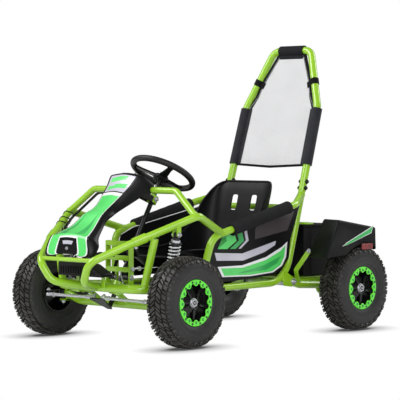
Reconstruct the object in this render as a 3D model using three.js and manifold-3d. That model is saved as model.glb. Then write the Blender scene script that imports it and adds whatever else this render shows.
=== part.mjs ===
// Off-road go kart: a welded tube frame with a bucket seat, four knobbly tyres, a swinging front
// axle with two coil-over shocks, and a rear swing arm that carries the motor and the live axle.
// Millimetres, +X to the kart's left, -Y forward, +Z up. y = 0 is midway between the axles until
// the whole kart is centred at the end.
import * as THREE from "three";
import { mergeVertices } from "three/addons/utils/BufferGeometryUtils.js";
import Module from "manifold-3d";

const wasm = await Module();
wasm.setup();

// Driving dimensions of the running gear
const wheelbase = 938;
const front_track = 712;
const rear_track = 728;
const tyre_radius = 165;
const tyre_width = 106;
const rim_radius = 76;
const rim_width = 84;

// Tubes and general clearances
const tube_sides = 10;
const small_sides = 8;
const bend_step = Math.PI / 6;
const loop_tube_radius = 16;
const main_tube_radius = 14;
const dash_tube_radius = 12.5;
const roll_tube_radius = 15;
const weld_gap = 0.3;
const running_gap = 0.35;
const overrun = 3;

// Lower frame
const rail_half = 220;
const rail_height = 191;
const loop_reach = 106;
const loop_rise = 16;
const loop_corner_bend = 72;
const loop_end_inset = 40;
const rail_dip_back = 219;
const kick_ahead = 232;
const kick_bend = 130;
const upright_half = 195;

// Roll-bar socket, where hoop, upright and roll bar meet
const socket_half = 194;
const socket_ahead = 117;
const socket_height = 528;
const socket_bend = 30;
const spigot_radius = 12.2;
const spigot_length = 60;

// Side hoop and armrest rail
const hoop_foot_back = 207;
const hoop_corner_half = 256;
const hoop_corner_back = 241;
const hoop_corner_height = 384;
const hoop_bend = 60;
const armrest_half = 262;
const armrest_rear_ahead = 231;
const armrest_rear_height = 493;
const armrest_pad_radius = 24.5;
const armrest_pad_start = 106;
const armrest_pad_length = 345;

// Hood rail, with the sleeve that takes the bumper
const hood_rear_half = 338;
const hood_rear_back = 79;
const hood_rear_height = 470;
const hood_rear_bend = 34;
const hood_front_half = 217;
const hood_front_reach = 131;
const hood_front_height = 376;
const hood_end_back = 294;
const sleeve_wall = 3.4;
const sleeve_length = 52;
const sleeve_depth = 22;

// Front bumper
const bumper_horn_half = 128;
const bumper_horn_reach = 266;
const bumper_horn_height = 306;
const bumper_low_half = 84;
const bumper_low_reach = 248;
const bumper_low_height = 232;
const bumper_bend = 52;
const bumper_seat_half = 12;
const bumper_bite = 12;
const chin_bar_radius = 8;
const chin_bar_reach = 238;
const chin_bar_height = 308;

// Posts and dash bar
const post_top_reach = 61;
const post_foot_inset = 8;
const post_foot_back = 34;
const dash_half = 215;
const dash_back = 92;
const dash_height = 557;
const dash_bend = 40;
const dash_foot_share = 0.96;

// Steering
const column_lean = Math.PI / 6;
const steering_wheel_back = 243;
const steering_wheel_height = 616;
const steering_wheel_radius = 130;
const grip_radius = 12;
const column_radius = 9;
const column_length = 566;
const clamp_down_column = 112;
const pitman_arm = 68;
const pitman_half = 26;
const plate_thickness = 5;
const tie_rod_radius = 6;
const rod_end_radius = 10;
const rod_end_height = 12;
const steering_arm_half = 268;
const steering_arm_reach = 95;
const kingpin_half = 290;
const kingpin_radius = 7;
const knuckle_radius = 12.5;
const knuckle_height = 44;
const arm_root_share = 0.7;
const yoke_plate = 7;
const spindle_radius = 11;

// Front axle
const beam_radius = 15;
const beam_drop = 25;
const beam_end_inset = 22;
const beam_flat_half = 196;
const beam_bend = 120;
const front_pivot_reach = 79;
const front_pivot_height = 195;
const trailing_arm_half = 72;
const trailing_arm_radius = 10;
const pivot_tube_radius = 12;
const pivot_tube_length = 42;
const pivot_bolt_radius = 6;
const gusset_length = 100;
const gusset_thickness = 6;

// Coil-over shocks
const shock_eye_radius = 9;
const shock_eye_width = 16;
const shock_bolt_radius = 4;
const shock_body_radius = 11;
const shock_rod_radius = 5.5;
const spring_radius = 20;
const spring_wire_radius = 2.8;
const spring_curls = 7;
const spring_seat_radius = 24;
const spring_seat_thickness = 4;
const open_eye_clearance = 3;
const open_joint_clearance = 4.2;
const swing_side_room = 2.2;
const front_shock_half = 285;
const front_shock_back = 9;
const front_shock_top_drop = 22;
const front_shock_foot_half = 260;
const front_shock_foot_height = 212;
const rear_shock_top_height = 448;
const rear_shock_foot_ahead = 96;
const rear_shock_foot_height = 226;

// Rear swing arm, axle and drive
const arm_half = 203;
const arm_tube_radius = 15;
const arm_pivot_ahead = 199;
const arm_tail = 34;
const pivot_plate_thickness = 6;
const pivot_plate_height = 46;
const axle_radius = 12;
const bearing_plate_thickness = 10;
const bearing_plate_radius = 34;
const motor_radius = 45;
const motor_length = 126;
const motor_ahead = 107;
const motor_outer_half = 226;
const drive_plane = 250;
const chain_pitch_radius_axle = 54;
const chain_pitch_radius_motor = 16;
const chain_height = 7;
const chain_width = 6;
const chain_facet_share = 0.97;
const sprocket_thickness = 3;
const sprocket_teeth = 20;
const disc_radius = 58;
const disc_plane = 250;

// Bodywork
const pan_thickness = 3;
const pan_front_back = 52;
const pan_rear_ahead = 392;
const seat_wall = 6;
const seat_half = 156;
const seat_depth = 540;
const seat_rise = 380;
const seat_back_ahead = 212;
const slot_half = 50;
const slot_width = 26;
const slot_height = 58;
const slot_height_above_pan = 304;
const fairing_wall = 4;
const fairing_reach = 253;
const fairing_half = 136;
const fairing_height = 290;
const fairing_foot = 326;
const fairing_length = 332;
const panel_wall = 3;
const panel_front_back = 233;
const panel_length = 553;
const panel_foot = 213;
const panel_height = 271;
const panel_front_half = 240;
const panel_rear_half = 214;
const box_half = 178;
const box_front_ahead = 57;
const box_length = 170;
const box_foot = 202;
const box_height = 204;
const box_chamfer = 22;
const lid_height = 10;
const fender_wall = 4;
const fender_outer_half = 415;
const fender_inner_half = 307;
const fender_foot_half = 288;
const fender_front_ahead = 154;
const fender_skew = 41;
const fender_lean = 78;
const fender_top = 436;
const fender_front_drop = 145;
const fender_rear_back = 77;
const fender_rear_drop = 88;
const fender_fall = 36;
const fender_bolt_share = 0.12;
const fender_bolt_stand = 10.2;

// Roll-bar net
const net_thickness = 2.4;
const net_binding = 9;
const net_cell = 46;
const net_gap_share = 0.78;
const sleeve_cloth = 4.5;
const strap_length = 20;

// Cable, pedals and controller box
const cable_radius = 4.5;
const pedal_bracket_half = 60;
const pedal_bracket_back = 14;
const pedal_bracket_height = 371;
const pedal_bar_width = 24;
const pedal_pivot_height = 236;
const pedal_half = 36;
const pedal_arm_length = 100;
const pedal_arm_lean = 38;
const pedal_pad_width = 40;
const pedal_pad_height = 50;
const pedal_hub_radius = 10;
const pedal_pin_radius = 6;
const controller_half = 130;
const controller_depth = 64;
const controller_foot = 247;
const controller_height = 52;
const controller_leg_half = 66;

// Places that follow from the driving dimensions
const front_axle_y = -wheelbase / 2;
const rear_axle_y = wheelbase / 2;
const axle_height = tyre_radius;
const loop_y = front_axle_y - loop_reach;
const loop_height = rail_height + loop_rise;
const loop_end_y = front_axle_y + loop_end_inset;
const rail_dip_y = front_axle_y + rail_dip_back;
const kick_y = rear_axle_y - kick_ahead;
const socket_y = rear_axle_y - socket_ahead;
const deck_top = box_foot - weld_gap;
const motor_height = deck_top + motor_radius + 2 * weld_gap;

const paint = { frame: 0x8fc92a, ring: 0x4fe03c, black: 0x17181b, rubber: 0x202124, foam: 0x2b2c31 };
const metal = { steel: 0xb9bec4, spring: 0xe4e7ea, dark: 0x3a3c40 };

function finish(color, roughness, metalness) {
  return new THREE.MeshStandardMaterial({ color, roughness, metalness });
}
const green_paint = finish(paint.frame, 0.3, 0.1);
const ring_paint = finish(paint.ring, 0.35, 0.2);
const black_plastic = finish(paint.black, 0.45, 0);
const black_steel = finish(paint.black, 0.35, 0.6);
const tyre_rubber = finish(paint.rubber, 0.85, 0);
const foam = finish(paint.foam, 0.95, 0);
const bright_steel = finish(metal.steel, 0.25, 0.9);
const spring_steel = finish(metal.spring, 0.3, 0.8);
const dark_steel = finish(metal.dark, 0.45, 0.7);
const mesh_cloth = finish(0xd4d6da, 0.9, 0);

const kart = new THREE.Group();

// A closed three.js geometry as a manifold solid, turned the right way out
function solid(geometry) {
  const bare = geometry.clone();
  bare.deleteAttribute("normal");
  bare.deleteAttribute("uv");
  const merged = mergeVertices(bare);
  const triVerts = new Uint32Array(merged.index.array);
  const vertProperties = new Float32Array(merged.attributes.position.array);
  const made = new wasm.Manifold(new wasm.Mesh({ numProp: 3, vertProperties, triVerts }));
  if (made.volume() > 0) return made;
  for (let i = 0; i < triVerts.length; i += 3) {
    const swapped = triVerts[i + 1];
    triVerts[i + 1] = triVerts[i + 2];
    triVerts[i + 2] = swapped;
  }
  return new wasm.Manifold(new wasm.Mesh({ numProp: 3, vertProperties, triVerts }));
}

function geometryOf(made) {
  const mesh = made.getMesh();
  const geometry = new THREE.BufferGeometry();
  geometry.setAttribute("position", new THREE.BufferAttribute(mesh.vertProperties, mesh.numProp));
  geometry.setIndex(new THREE.BufferAttribute(mesh.triVerts, 1));
  geometry.computeVertexNormals();
  return geometry;
}

function place(name, made, material, parent = kart) {
  const mesh = new THREE.Mesh(geometryOf(made), material);
  mesh.name = name;
  parent.add(mesh);
  return mesh;
}

function join(...solids) {
  return solids.reduce((sum, next) => sum.add(next));
}

function cut(made, ...cutters) {
  const bodies = cutters.reduce((rest, cutter) => rest.subtract(cutter), made).decompose();
  return bodies.reduce((most, body) => (body.volume() > most.volume() ? body : most));
}

const mirrored = (made) => made.mirror([1, 0, 0]);
const vec = (x, y, z) => new THREE.Vector3(x, y, z);
const flip = (point) => vec(-point.x, point.y, point.z);
const between = (a, b, share) => a.clone().lerp(b, share);

function along(a, b, distance) {
  return a.clone().addScaledVector(b.clone().sub(a).normalize(), distance);
}

function pointAtY(a, b, y) {
  return between(a, b, (y - a.y) / (b.y - a.y));
}

function pointAtHeight(a, b, z) {
  return between(a, b, (z - a.z) / (b.z - a.z));
}

// Straight runs joined by round bends, with a station at the ends of each run and in each bend
class BentPath extends THREE.Curve {
  constructor(corners, bends, step = bend_step) {
    super();
    this.stations = [];
    const add = (point, tangent) => this.stations.push({ point, tangent });
    const direction = (i) => corners[i + 1].clone().sub(corners[i]).normalize();
    add(corners[0], direction(0));
    for (let i = 1; i < corners.length - 1; i += 1) {
      const into = direction(i - 1);
      const out = direction(i);
      const turn = into.angleTo(out);
      const radius = Array.isArray(bends) ? bends[i - 1] : bends;
      const shortest = Math.min(corners[i].distanceTo(corners[i - 1]), corners[i].distanceTo(corners[i + 1]));
      const setback = Math.min(radius * Math.tan(turn / 2), shortest * 0.48);
      const bend = setback / Math.tan(turn / 2);
      const start = corners[i].clone().addScaledVector(into, -setback);
      const side = out.clone().addScaledVector(into, -Math.cos(turn)).normalize();
      const steps = Math.max(2, Math.round(turn / step));
      for (let k = 0; k <= steps; k += 1) {
        const angle = (turn * k) / steps;
        const point = start
          .clone()
          .addScaledVector(into, bend * Math.sin(angle))
          .addScaledVector(side, bend * (1 - Math.cos(angle)));
        const tangent = into.clone().multiplyScalar(Math.cos(angle)).addScaledVector(side, Math.sin(angle));
        add(point, tangent);
      }
    }
    add(corners[corners.length - 1], direction(corners.length - 2));
    this.steps = this.stations.length - 1;
  }

  at(share, key) {
    const place_on_path = share * this.steps;
    const index = Math.min(Math.floor(place_on_path + 1e-9), this.steps - 1);
    return this.stations[index][key].clone().lerp(this.stations[index + 1][key], place_on_path - index);
  }

  getPointAt(share) {
    return this.at(share, "point");
  }

  getTangentAt(share) {
    return this.at(share, "tangent").normalize();
  }
}

function circle(radius, sides) {
  const points = [];
  for (let i = 0; i < sides; i += 1) {
    const angle = (2 * Math.PI * (i + 0.5)) / sides;
    points.push(new THREE.Vector2(radius * Math.cos(angle), radius * Math.sin(angle)));
  }
  return new THREE.Shape(points);
}

function sweep(path, radius, sides = tube_sides) {
  const settings = { steps: path.steps, bevelEnabled: false, extrudePath: path };
  return solid(new THREE.ExtrudeGeometry(circle(radius, sides), settings));
}

function tube(corners, bends, radius, sides = tube_sides) {
  return sweep(new BentPath(corners, bends), radius, sides);
}

// The same tube grown by the weld gap, as a cutter for what butts against it
function cope(corners, bends, radius, sides = tube_sides) {
  return tube(corners, bends, (radius + weld_gap) / Math.cos(Math.PI / sides), sides);
}

function rod(a, b, radius, sides = tube_sides, end_radius = radius) {
  const length = a.distanceTo(b);
  const geometry = new THREE.CylinderGeometry(end_radius, radius, length, sides);
  const turn = new THREE.Quaternion().setFromUnitVectors(vec(0, 1, 0), b.clone().sub(a).normalize());
  geometry.applyQuaternion(turn);
  const middle = between(a, b, 0.5);
  geometry.translate(middle.x, middle.y, middle.z);
  return solid(geometry);
}

function pipe(a, b, bore, radius, sides = tube_sides) {
  const hole = rod(along(a, b, -overrun), along(b, a, -overrun), bore / Math.cos(Math.PI / sides), sides);
  return rod(a, b, radius, sides).subtract(hole);
}

function block(low, high) {
  const size = high.clone().sub(low);
  const middle = between(low, high, 0.5);
  const geometry = new THREE.BoxGeometry(size.x, size.y, size.z);
  geometry.translate(middle.x, middle.y, middle.z);
  return solid(geometry);
}

// A flat plate: an outline in the plane of two directions from a corner, thickened along the third
function plate(origin, right, up, outline, thickness) {
  const shape = new THREE.Shape(outline.map(([x, y]) => new THREE.Vector2(x, y)));
  const geometry = new THREE.ExtrudeGeometry(shape, { depth: thickness, bevelEnabled: false });
  const normal = right.clone().cross(up).normalize();
  geometry.translate(0, 0, -thickness / 2);
  geometry.applyMatrix4(new THREE.Matrix4().makeBasis(right, up, normal).setPosition(origin));
  return solid(geometry);
}

// A closed ring of profile points, turned about the Z axis
function revolve(profile, segments) {
  const points = profile.map(([radius, height]) => new THREE.Vector2(radius, height));
  points.push(points[0].clone());
  const geometry = new THREE.LatheGeometry(points, segments);
  geometry.rotateX(Math.PI / 2);
  return solid(geometry);
}

// A skin of rows by columns of points, thickened to its underside and closed round its edge
function shell(top, bottom) {
  const rows = top.length;
  const columns = top[0].length;
  const positions = [];
  const index = [];
  [top, bottom].forEach((skin) => skin.forEach((row) => row.forEach((p) => positions.push(p.x, p.y, p.z))));
  const id = (layer, r, c) => (layer * rows + r) * columns + c;
  const quad = (a, b, c, d) => index.push(a, b, c, a, c, d);
  for (let r = 0; r < rows - 1; r += 1) {
    for (let c = 0; c < columns - 1; c += 1) {
      quad(id(0, r, c), id(0, r, c + 1), id(0, r + 1, c + 1), id(0, r + 1, c));
      quad(id(1, r, c), id(1, r + 1, c), id(1, r + 1, c + 1), id(1, r, c + 1));
    }
  }
  for (let c = 0; c < columns - 1; c += 1) {
    quad(id(0, 0, c), id(1, 0, c), id(1, 0, c + 1), id(0, 0, c + 1));
    quad(id(0, rows - 1, c + 1), id(1, rows - 1, c + 1), id(1, rows - 1, c), id(0, rows - 1, c));
  }
  for (let r = 0; r < rows - 1; r += 1) {
    quad(id(0, r, 0), id(0, r + 1, 0), id(1, r + 1, 0), id(1, r, 0));
    quad(id(0, r + 1, columns - 1), id(0, r, columns - 1), id(1, r, columns - 1), id(1, r + 1, columns - 1));
  }
  const geometry = new THREE.BufferGeometry();
  geometry.setAttribute("position", new THREE.Float32BufferAttribute(positions, 3));
  geometry.setIndex(index);
  return solid(geometry);
}

// The underside of a skin: each point moved against its normal by the wall
function underside(skin, wall) {
  const rows = skin.length;
  const columns = skin[0].length;
  return skin.map((row, r) =>
    row.map((p, c) => {
      const across = skin[r][Math.min(c + 1, columns - 1)].clone().sub(skin[r][Math.max(c - 1, 0)]);
      const down = skin[Math.min(r + 1, rows - 1)][c].clone().sub(skin[Math.max(r - 1, 0)][c]);
      return p.clone().addScaledVector(across.cross(down).normalize(), -wall);
    }),
  );
}

// Paths of the left-hand tubes
const loop_corner = vec(rail_half, loop_y, loop_height);
const rail_dip = vec(rail_half, rail_dip_y, rail_height);
const loop_end = pointAtY(loop_corner, rail_dip, loop_end_y);
const kick = vec((rail_half + upright_half) / 2, kick_y, rail_height);
const socket = vec(socket_half, socket_y, socket_height);
const loop_path = [flip(loop_end), flip(loop_corner), loop_corner, loop_end];
const rail_path = [along(loop_end, rail_dip, weld_gap), rail_dip, kick, socket];
const rail_bends = [kick_bend, kick_bend];

const roll_lean = Math.atan2(1, 3.25);
const roll_up = vec(0, Math.sin(roll_lean), Math.cos(roll_lean));
const spigot_top = socket.clone().addScaledVector(roll_up, main_tube_radius + spigot_length);
const collar_top = socket.clone().addScaledVector(roll_up, main_tube_radius);

const hoop_foot = vec(rail_half, front_axle_y + hoop_foot_back, rail_height);
const hoop_corner = vec(hoop_corner_half, front_axle_y + hoop_corner_back, hoop_corner_height);
const armrest_rear = vec(armrest_half, rear_axle_y - armrest_rear_ahead, armrest_rear_height);
const hoop_path = [hoop_foot, hoop_corner, armrest_rear, socket, collar_top];
const hoop_bends = [hoop_bend, hoop_bend, socket_bend];

const hood_front = vec(hood_front_half, front_axle_y - hood_front_reach, hood_front_height);
const hood_rear = vec(hood_rear_half, front_axle_y + hood_rear_back, hood_rear_height);
const hood_end = pointAtY(hoop_corner, armrest_rear, front_axle_y + hood_end_back);
const hood_path = [along(hood_front, hood_rear, sleeve_depth), hood_rear, hood_end];

const bumper_seat_y = loop_y - loop_tube_radius + bumper_bite;
const bumper_path = [
  along(hood_front, hood_rear, sleeve_depth - weld_gap),
  along(hood_front, hood_rear, -main_tube_radius),
  vec(bumper_horn_half, front_axle_y - bumper_horn_reach, bumper_horn_height),
  vec(bumper_low_half, front_axle_y - bumper_low_reach, bumper_low_height),
  vec(bumper_seat_half, bumper_seat_y, loop_height),
];

const dash_foot = between(hood_front, hood_rear, dash_foot_share);
const dash_corner = vec(dash_half, front_axle_y + dash_back, dash_height);
const dash_path = [flip(dash_foot), flip(dash_corner), dash_corner, dash_foot];

const post_foot = vec(rail_half - post_foot_inset, loop_y + post_foot_back, loop_height);
const post_top = pointAtY(hood_front, hood_rear, front_axle_y - post_top_reach);

// Steering axis, from the wheel's centre down to the pitman plate
const column_up = vec(0, Math.sin(column_lean), Math.cos(column_lean));
const column_ahead = vec(0, -Math.cos(column_lean), Math.sin(column_lean));
const wheel_centre = vec(0, front_axle_y + steering_wheel_back, steering_wheel_height);
const downColumn = (distance) => wheel_centre.clone().addScaledVector(column_up, -distance);
const column_foot = downColumn(column_length);

function addLowerFrame() {
  const post = tube([post_foot, post_top], 0, main_tube_radius);
  const hood_cutter = cope(hood_path, hood_rear_bend, main_tube_radius + sleeve_wall);
  const trimmed_post = cut(post, hood_cutter);
  const gusset_inner = trailing_arm_half + pivot_tube_length / 2 + running_gap;
  const gusset_drop = loop_height - front_pivot_height + pivot_tube_radius;
  const gusset_outline = [
    [0, 0],
    [gusset_length, 0],
    [gusset_length / 4, -gusset_drop],
    [0, -gusset_drop],
  ];
  const pivot_y = front_axle_y - front_pivot_reach;
  const gusset_origin = vec(gusset_inner, loop_y + gusset_thickness, loop_height);
  const gusset = plate(gusset_origin, vec(1, 0, 0), vec(0, 0, 1), gusset_outline, gusset_thickness);
  const ear_low = vec(gusset_inner, loop_y, front_pivot_height - pivot_tube_radius);
  const ear_high = vec(gusset_inner + gusset_thickness, pivot_y + pivot_tube_radius, loop_height);
  const ear = block(ear_low, ear_high);
  const bolt_outer = vec(gusset_inner + gusset_thickness * 2, pivot_y, front_pivot_height);
  const bolt_inner = vec(trailing_arm_half - pivot_tube_length / 2 - gusset_thickness, pivot_y, front_pivot_height);
  const bolt = rod(bolt_inner, bolt_outer, pivot_bolt_radius, small_sides);
  const half = join(trimmed_post, gusset, ear, bolt);
  const loop = tube(loop_path, loop_corner_bend, loop_tube_radius);
  place("front_loop", join(loop, half, mirrored(half)), green_paint);

  const hoop_cutter = join(
    cope(hoop_path, hoop_bends, main_tube_radius),
    cope([collar_top, spigot_top], 0, roll_tube_radius),
  );
  const pivot = vec(rail_half, rear_axle_y - arm_pivot_ahead, rail_height);
  const plate_x = arm_half + arm_tube_radius + running_gap + pivot_plate_thickness / 2;
  const plate_outline = [
    [-pivot_plate_height, -main_tube_radius],
    [0, -pivot_plate_height / 3],
    [pivot_plate_height / 3, 0],
    [0, pivot_plate_height / 3],
    [-pivot_plate_height, pivot_plate_height],
    [-pivot_plate_height * 1.3, main_tube_radius],
  ];
  const plate_origin = vec(plate_x, pivot.y, pivot.z);
  const pivot_plate = plate(plate_origin, vec(0, 1, 0), vec(0, 0, 1), plate_outline, pivot_plate_thickness);
  const pin_outer = vec(plate_x + pivot_plate_thickness * 1.5, pivot.y, pivot.z);
  const pin_inner = vec(arm_half - arm_tube_radius, pivot.y, pivot.z);
  const pin = rod(pin_inner, pin_outer, pivot_bolt_radius, small_sides);
  const rail = tube(rail_path, rail_bends, main_tube_radius);
  const left = cut(join(rail, pivot_plate, pin), hoop_cutter);
  place("side_rail_left", left, green_paint);
  place("side_rail_right", mirrored(left), green_paint);
}

function addUpperFrame() {
  const rail_cutter = cope(rail_path, rail_bends, main_tube_radius);
  const hoop = tube(hoop_path, hoop_bends, main_tube_radius);
  const foot_trimmed = cut(hoop, cope([loop_end, rail_dip, kick], kick_bend, main_tube_radius));
  const spigot = rod(between(socket, collar_top, 0.5), spigot_top, spigot_radius, small_sides);
  const hoop_left = join(foot_trimmed, spigot);
  place("side_hoop_left", hoop_left, green_paint);
  place("side_hoop_right", mirrored(hoop_left), green_paint);

  const sleeve_start = hood_front;
  const sleeve_end = along(hood_front, hood_rear, sleeve_length);
  const sleeve = rod(sleeve_start, sleeve_end, main_tube_radius + sleeve_wall);
  const bore_start = along(sleeve_start, sleeve_end, -overrun);
  const bore_end = along(sleeve_start, sleeve_end, sleeve_depth);
  const bore = rod(bore_start, bore_end, (main_tube_radius + weld_gap) / Math.cos(Math.PI / tube_sides));
  const hood = tube(hood_path, hood_rear_bend, main_tube_radius);
  const trimmed = cut(hood, cope(hoop_path, hoop_bends, main_tube_radius));
  const shock_bracket = frontShockBracket();
  const hood_left = join(trimmed, sleeve, shock_bracket).subtract(bore);
  place("hood_rail_left", hood_left, green_paint);
  place("hood_rail_right", mirrored(hood_left), green_paint);

  const bumper = tube(bumper_path, bumper_bend, main_tube_radius);
  const horn_run = pointAtHeight(bumper_path[1], bumper_path[2], chin_bar_height);
  const chin_bar = rod(flip(horn_run), horn_run, chin_bar_radius, small_sides);
  const whole = join(bumper, mirrored(bumper), chin_bar);
  const loop_cutter = cope(loop_path, loop_corner_bend, loop_tube_radius);
  place("front_bumper", cut(whole, loop_cutter), green_paint);

  const dash = tube(dash_path, dash_bend, dash_tube_radius);
  const hood_cutter = cope(hood_path, hood_rear_bend, main_tube_radius);
  const trimmed_dash = cut(dash, hood_cutter, mirrored(hood_cutter));
  place("dash_bar", join(trimmed_dash, steeringSupport()), green_paint);

  const upright_point = pointAtHeight(kick, socket, rear_shock_top_height + shock_eye_radius * 3);
  const cross = tube([flip(upright_point), upright_point], 0, dash_tube_radius);
  const cross_trimmed = cut(cross, rail_cutter, mirrored(rail_cutter));
  place("rear_cross_tube", join(cross_trimmed, rearShockEars(upright_point)), green_paint);
}

// Two ears and a bolt that hold a shock's upper eye, hung from a carrier above it
function shockEars(eye, carrier, axis, room = running_gap) {
  const side = axis.clone().multiplyScalar(shock_eye_width / 2 + room + plate_thickness / 2);
  const ears = [side, side.clone().negate()].map((shift) => {
    const up = carrier.clone().sub(eye).normalize();
    const right = up.clone().cross(axis).normalize();
    const reach = carrier.distanceTo(eye);
    const outline = [
      [-shock_eye_radius, -shock_eye_radius / 2],
      [-shock_eye_radius / 2, -shock_eye_radius],
      [shock_eye_radius / 2, -shock_eye_radius],
      [shock_eye_radius, -shock_eye_radius / 2],
      [shock_eye_radius, reach],
      [-shock_eye_radius, reach],
    ];
    return plate(eye.clone().add(shift), right, up, outline, plate_thickness);
  });
  const reach = side.clone().multiplyScalar(1.3);
  const bolt = rod(eye.clone().sub(reach), eye.clone().add(reach), shock_bolt_radius, small_sides);
  return join(...ears, bolt);
}

const front_shock_carrier = pointAtY(hood_front, hood_rear, front_axle_y + front_shock_back);
const front_shock_top = vec(
  front_shock_carrier.x,
  front_shock_carrier.y,
  front_shock_carrier.z - main_tube_radius - front_shock_top_drop,
);
const front_shock_foot = vec(front_shock_foot_half, front_shock_top.y, front_shock_foot_height);
const rear_shock_y = pointAtHeight(kick, socket, rear_shock_top_height + shock_eye_radius * 3).y;
const rear_shock_top = vec(0, rear_shock_y, rear_shock_top_height);
const rear_shock_foot = vec(0, rear_axle_y - rear_shock_foot_ahead, rear_shock_foot_height);

function frontShockBracket() {
  const carrier = front_shock_carrier.clone();
  return shockEars(front_shock_top, carrier, vec(1, 0, 0));
}

function rearShockEars(upright_point) {
  return shockEars(rear_shock_top, vec(0, upright_point.y, upright_point.z), vec(1, 0, 0));
}

// A bracket from the dash bar back to a bearing ring round the steering column
function steeringSupport() {
  const ring_centre = downColumn(clamp_down_column);
  const ring_half = column_radius * 1.6;
  const ring_low = ring_centre.clone().addScaledVector(column_up, -ring_half);
  const ring_high = ring_centre.clone().addScaledVector(column_up, ring_half);
  const ring = rod(ring_low, ring_high, column_radius * 2.2);
  const bar_middle = vec(0, dash_corner.y, dash_corner.z);
  const reach = bar_middle.distanceTo(ring_centre);
  const right = ring_centre.clone().sub(bar_middle).normalize();
  const up = vec(1, 0, 0).cross(right).normalize();
  const web_half = column_radius * 1.8;
  const web_outline = [
    [0, -web_half],
    [reach, -web_half],
    [reach, web_half / 2],
    [0, web_half],
  ];
  const shift = vec(column_radius * 1.5, 0, 0);
  const webs = [shift, shift.clone().negate()].map((side) =>
    plate(bar_middle.clone().add(side), right, up, web_outline, plate_thickness),
  );
  const bore_low = ring_centre.clone().addScaledVector(column_up, -ring_half * 3);
  const bore_high = ring_centre.clone().addScaledVector(column_up, ring_half * 3);
  const bore = rod(bore_low, bore_high, (column_radius + running_gap) / Math.cos(Math.PI / tube_sides));
  const tab_half = column_radius * 3;
  const tab = fairingTab(bar_middle, tab_half);
  return join(ring, ...webs, tab).subtract(bore);
}

// The upright tab on the dash bar that the fairing's top is screwed to
function fairingTab(bar_middle, tab_half) {
  const up = fairingCentre(fairing_tab_share).sub(bar_middle);
  const reach = up.length() - fairing_wall - weld_gap;
  const outline = [
    [-tab_half, 0],
    [tab_half, 0],
    [tab_half, reach],
    [-tab_half, reach],
  ];
  return plate(bar_middle, vec(1, 0, 0), up.normalize(), outline, plate_thickness);
}

// Nose fairing: stations from the chin to the top edge. Each gives shares of the fairing's length
// and height for the decal plate's edge, its half width, and the same for the skirt's outer edge.
const fairing_station_shares = [
  [0.0, 0.0, 0.52, 0.03, -0.02, 0.56],
  [0.006, 0.02, 0.84, 0.05, 0.0, 0.88],
  [0.036, 0.214, 0.74, 0.12, 0.11, 0.93],
  [0.1, 0.26, 0.68, 0.18, 0.215, 0.78],
  [0.24, 0.345, 0.5, 0.32, 0.33, 0.58],
  [0.32, 0.42, 0.43, 0.42, 0.42, 0.48],
  [0.4, 0.5, 0.38, 0.52, 0.48, 0.46],
  [0.55, 0.6, 0.3, 0.62, 0.53, 0.42],
  [0.77, 0.82, 0.45, 0.84, 0.67, 0.56],
  [0.91, 0.985, 0.56, 0.95, 0.75, 0.66],
  [1.08, 0.865, 0.68, 1.0, 0.74, 0.71],
];
const fairing_crown_share = 0.12;
const fairing_tab_share = 0.8;

function fairingPoint(length_share, height_share, half_share) {
  const y = front_axle_y - fairing_reach + length_share * fairing_length;
  return vec(half_share * fairing_half, y, fairing_foot + height_share * fairing_height);
}

function fairingRow([length, height, half, skirt_length, skirt_height, skirt_half]) {
  const edge = fairingPoint(length, height, half);
  const crown = vec(0, edge.y, edge.z + fairing_crown_share * edge.x);
  const skirt = fairingPoint(skirt_length, skirt_height, skirt_half);
  const shoulder = between(edge, skirt, 0.5).add(vec(fairing_wall, 0, fairing_wall));
  const half_row = [edge, shoulder, skirt];
  return [...half_row.slice().reverse().map(flip), crown, ...half_row];
}

function fairingCentre(share) {
  const place_on_rows = share * (fairing_station_shares.length - 1);
  const index = Math.floor(place_on_rows);
  const middle = (station) => {
    const edge = fairingPoint(station[0], station[1], station[2]);
    return vec(0, edge.y, edge.z + fairing_crown_share * edge.x);
  };
  const next = fairing_station_shares[index + 1];
  return between(middle(fairing_station_shares[index]), middle(next), place_on_rows - index);
}

function addFairing() {
  const rows = fairing_station_shares.map(fairingRow);
  const inner = underside(rows, -fairing_wall);
  const bar_cutter = tube(dash_path, dash_bend, dash_tube_radius + running_gap);
  const horn_cutter = tube(bumper_path, bumper_bend, main_tube_radius + running_gap);
  const fairing = cut(shell(rows, inner), bar_cutter, horn_cutter, mirrored(horn_cutter));
  place("nose_fairing", fairing, black_plastic);
}

// Seat: stations from the front lip over the pan and up the back. Each gives shares of the seat's
// depth and rise for the middle line, of its half width, and how far the wings stand up.
const seat_station_shares = [
  [0.0, 0.33, 0.84, 0.05, 0],
  [0.025, 0.34, 0.93, 0.14, 0],
  [0.09, 0.26, 1.0, 0.35, 0],
  [0.22, 0.12, 1.0, 0.49, 0],
  [0.4, 0.0, 1.0, 0.61, 0],
  [0.58, 0.0, 1.0, 0.62, 0.1],
  [0.72, 0.04, 1.0, 0.57, 0.4],
  [0.81, 0.16, 1.0, 0.46, 0.8],
  [0.86, 0.34, 0.99, 0.34, 1.1],
  [0.9, 0.52, 0.98, 0.25, 1.25],
  [0.94, 0.72, 0.96, 0.17, 1.25],
  [0.97, 0.86, 0.9, 0.09, 1.25],
  [0.99, 0.965, 0.83, 0.03, 1.25],
  [1.0, 1.0, 0.7, 0.0, 1.25],
];
const seat_section_shares = [
  [-1.0, 1.0],
  [-0.97, 0.5],
  [-0.88, 0.12],
  [-0.6, 0],
  [0, 0],
  [0.6, 0],
  [0.88, 0.12],
  [0.97, 0.5],
  [1.0, 1.0],
];

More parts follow.
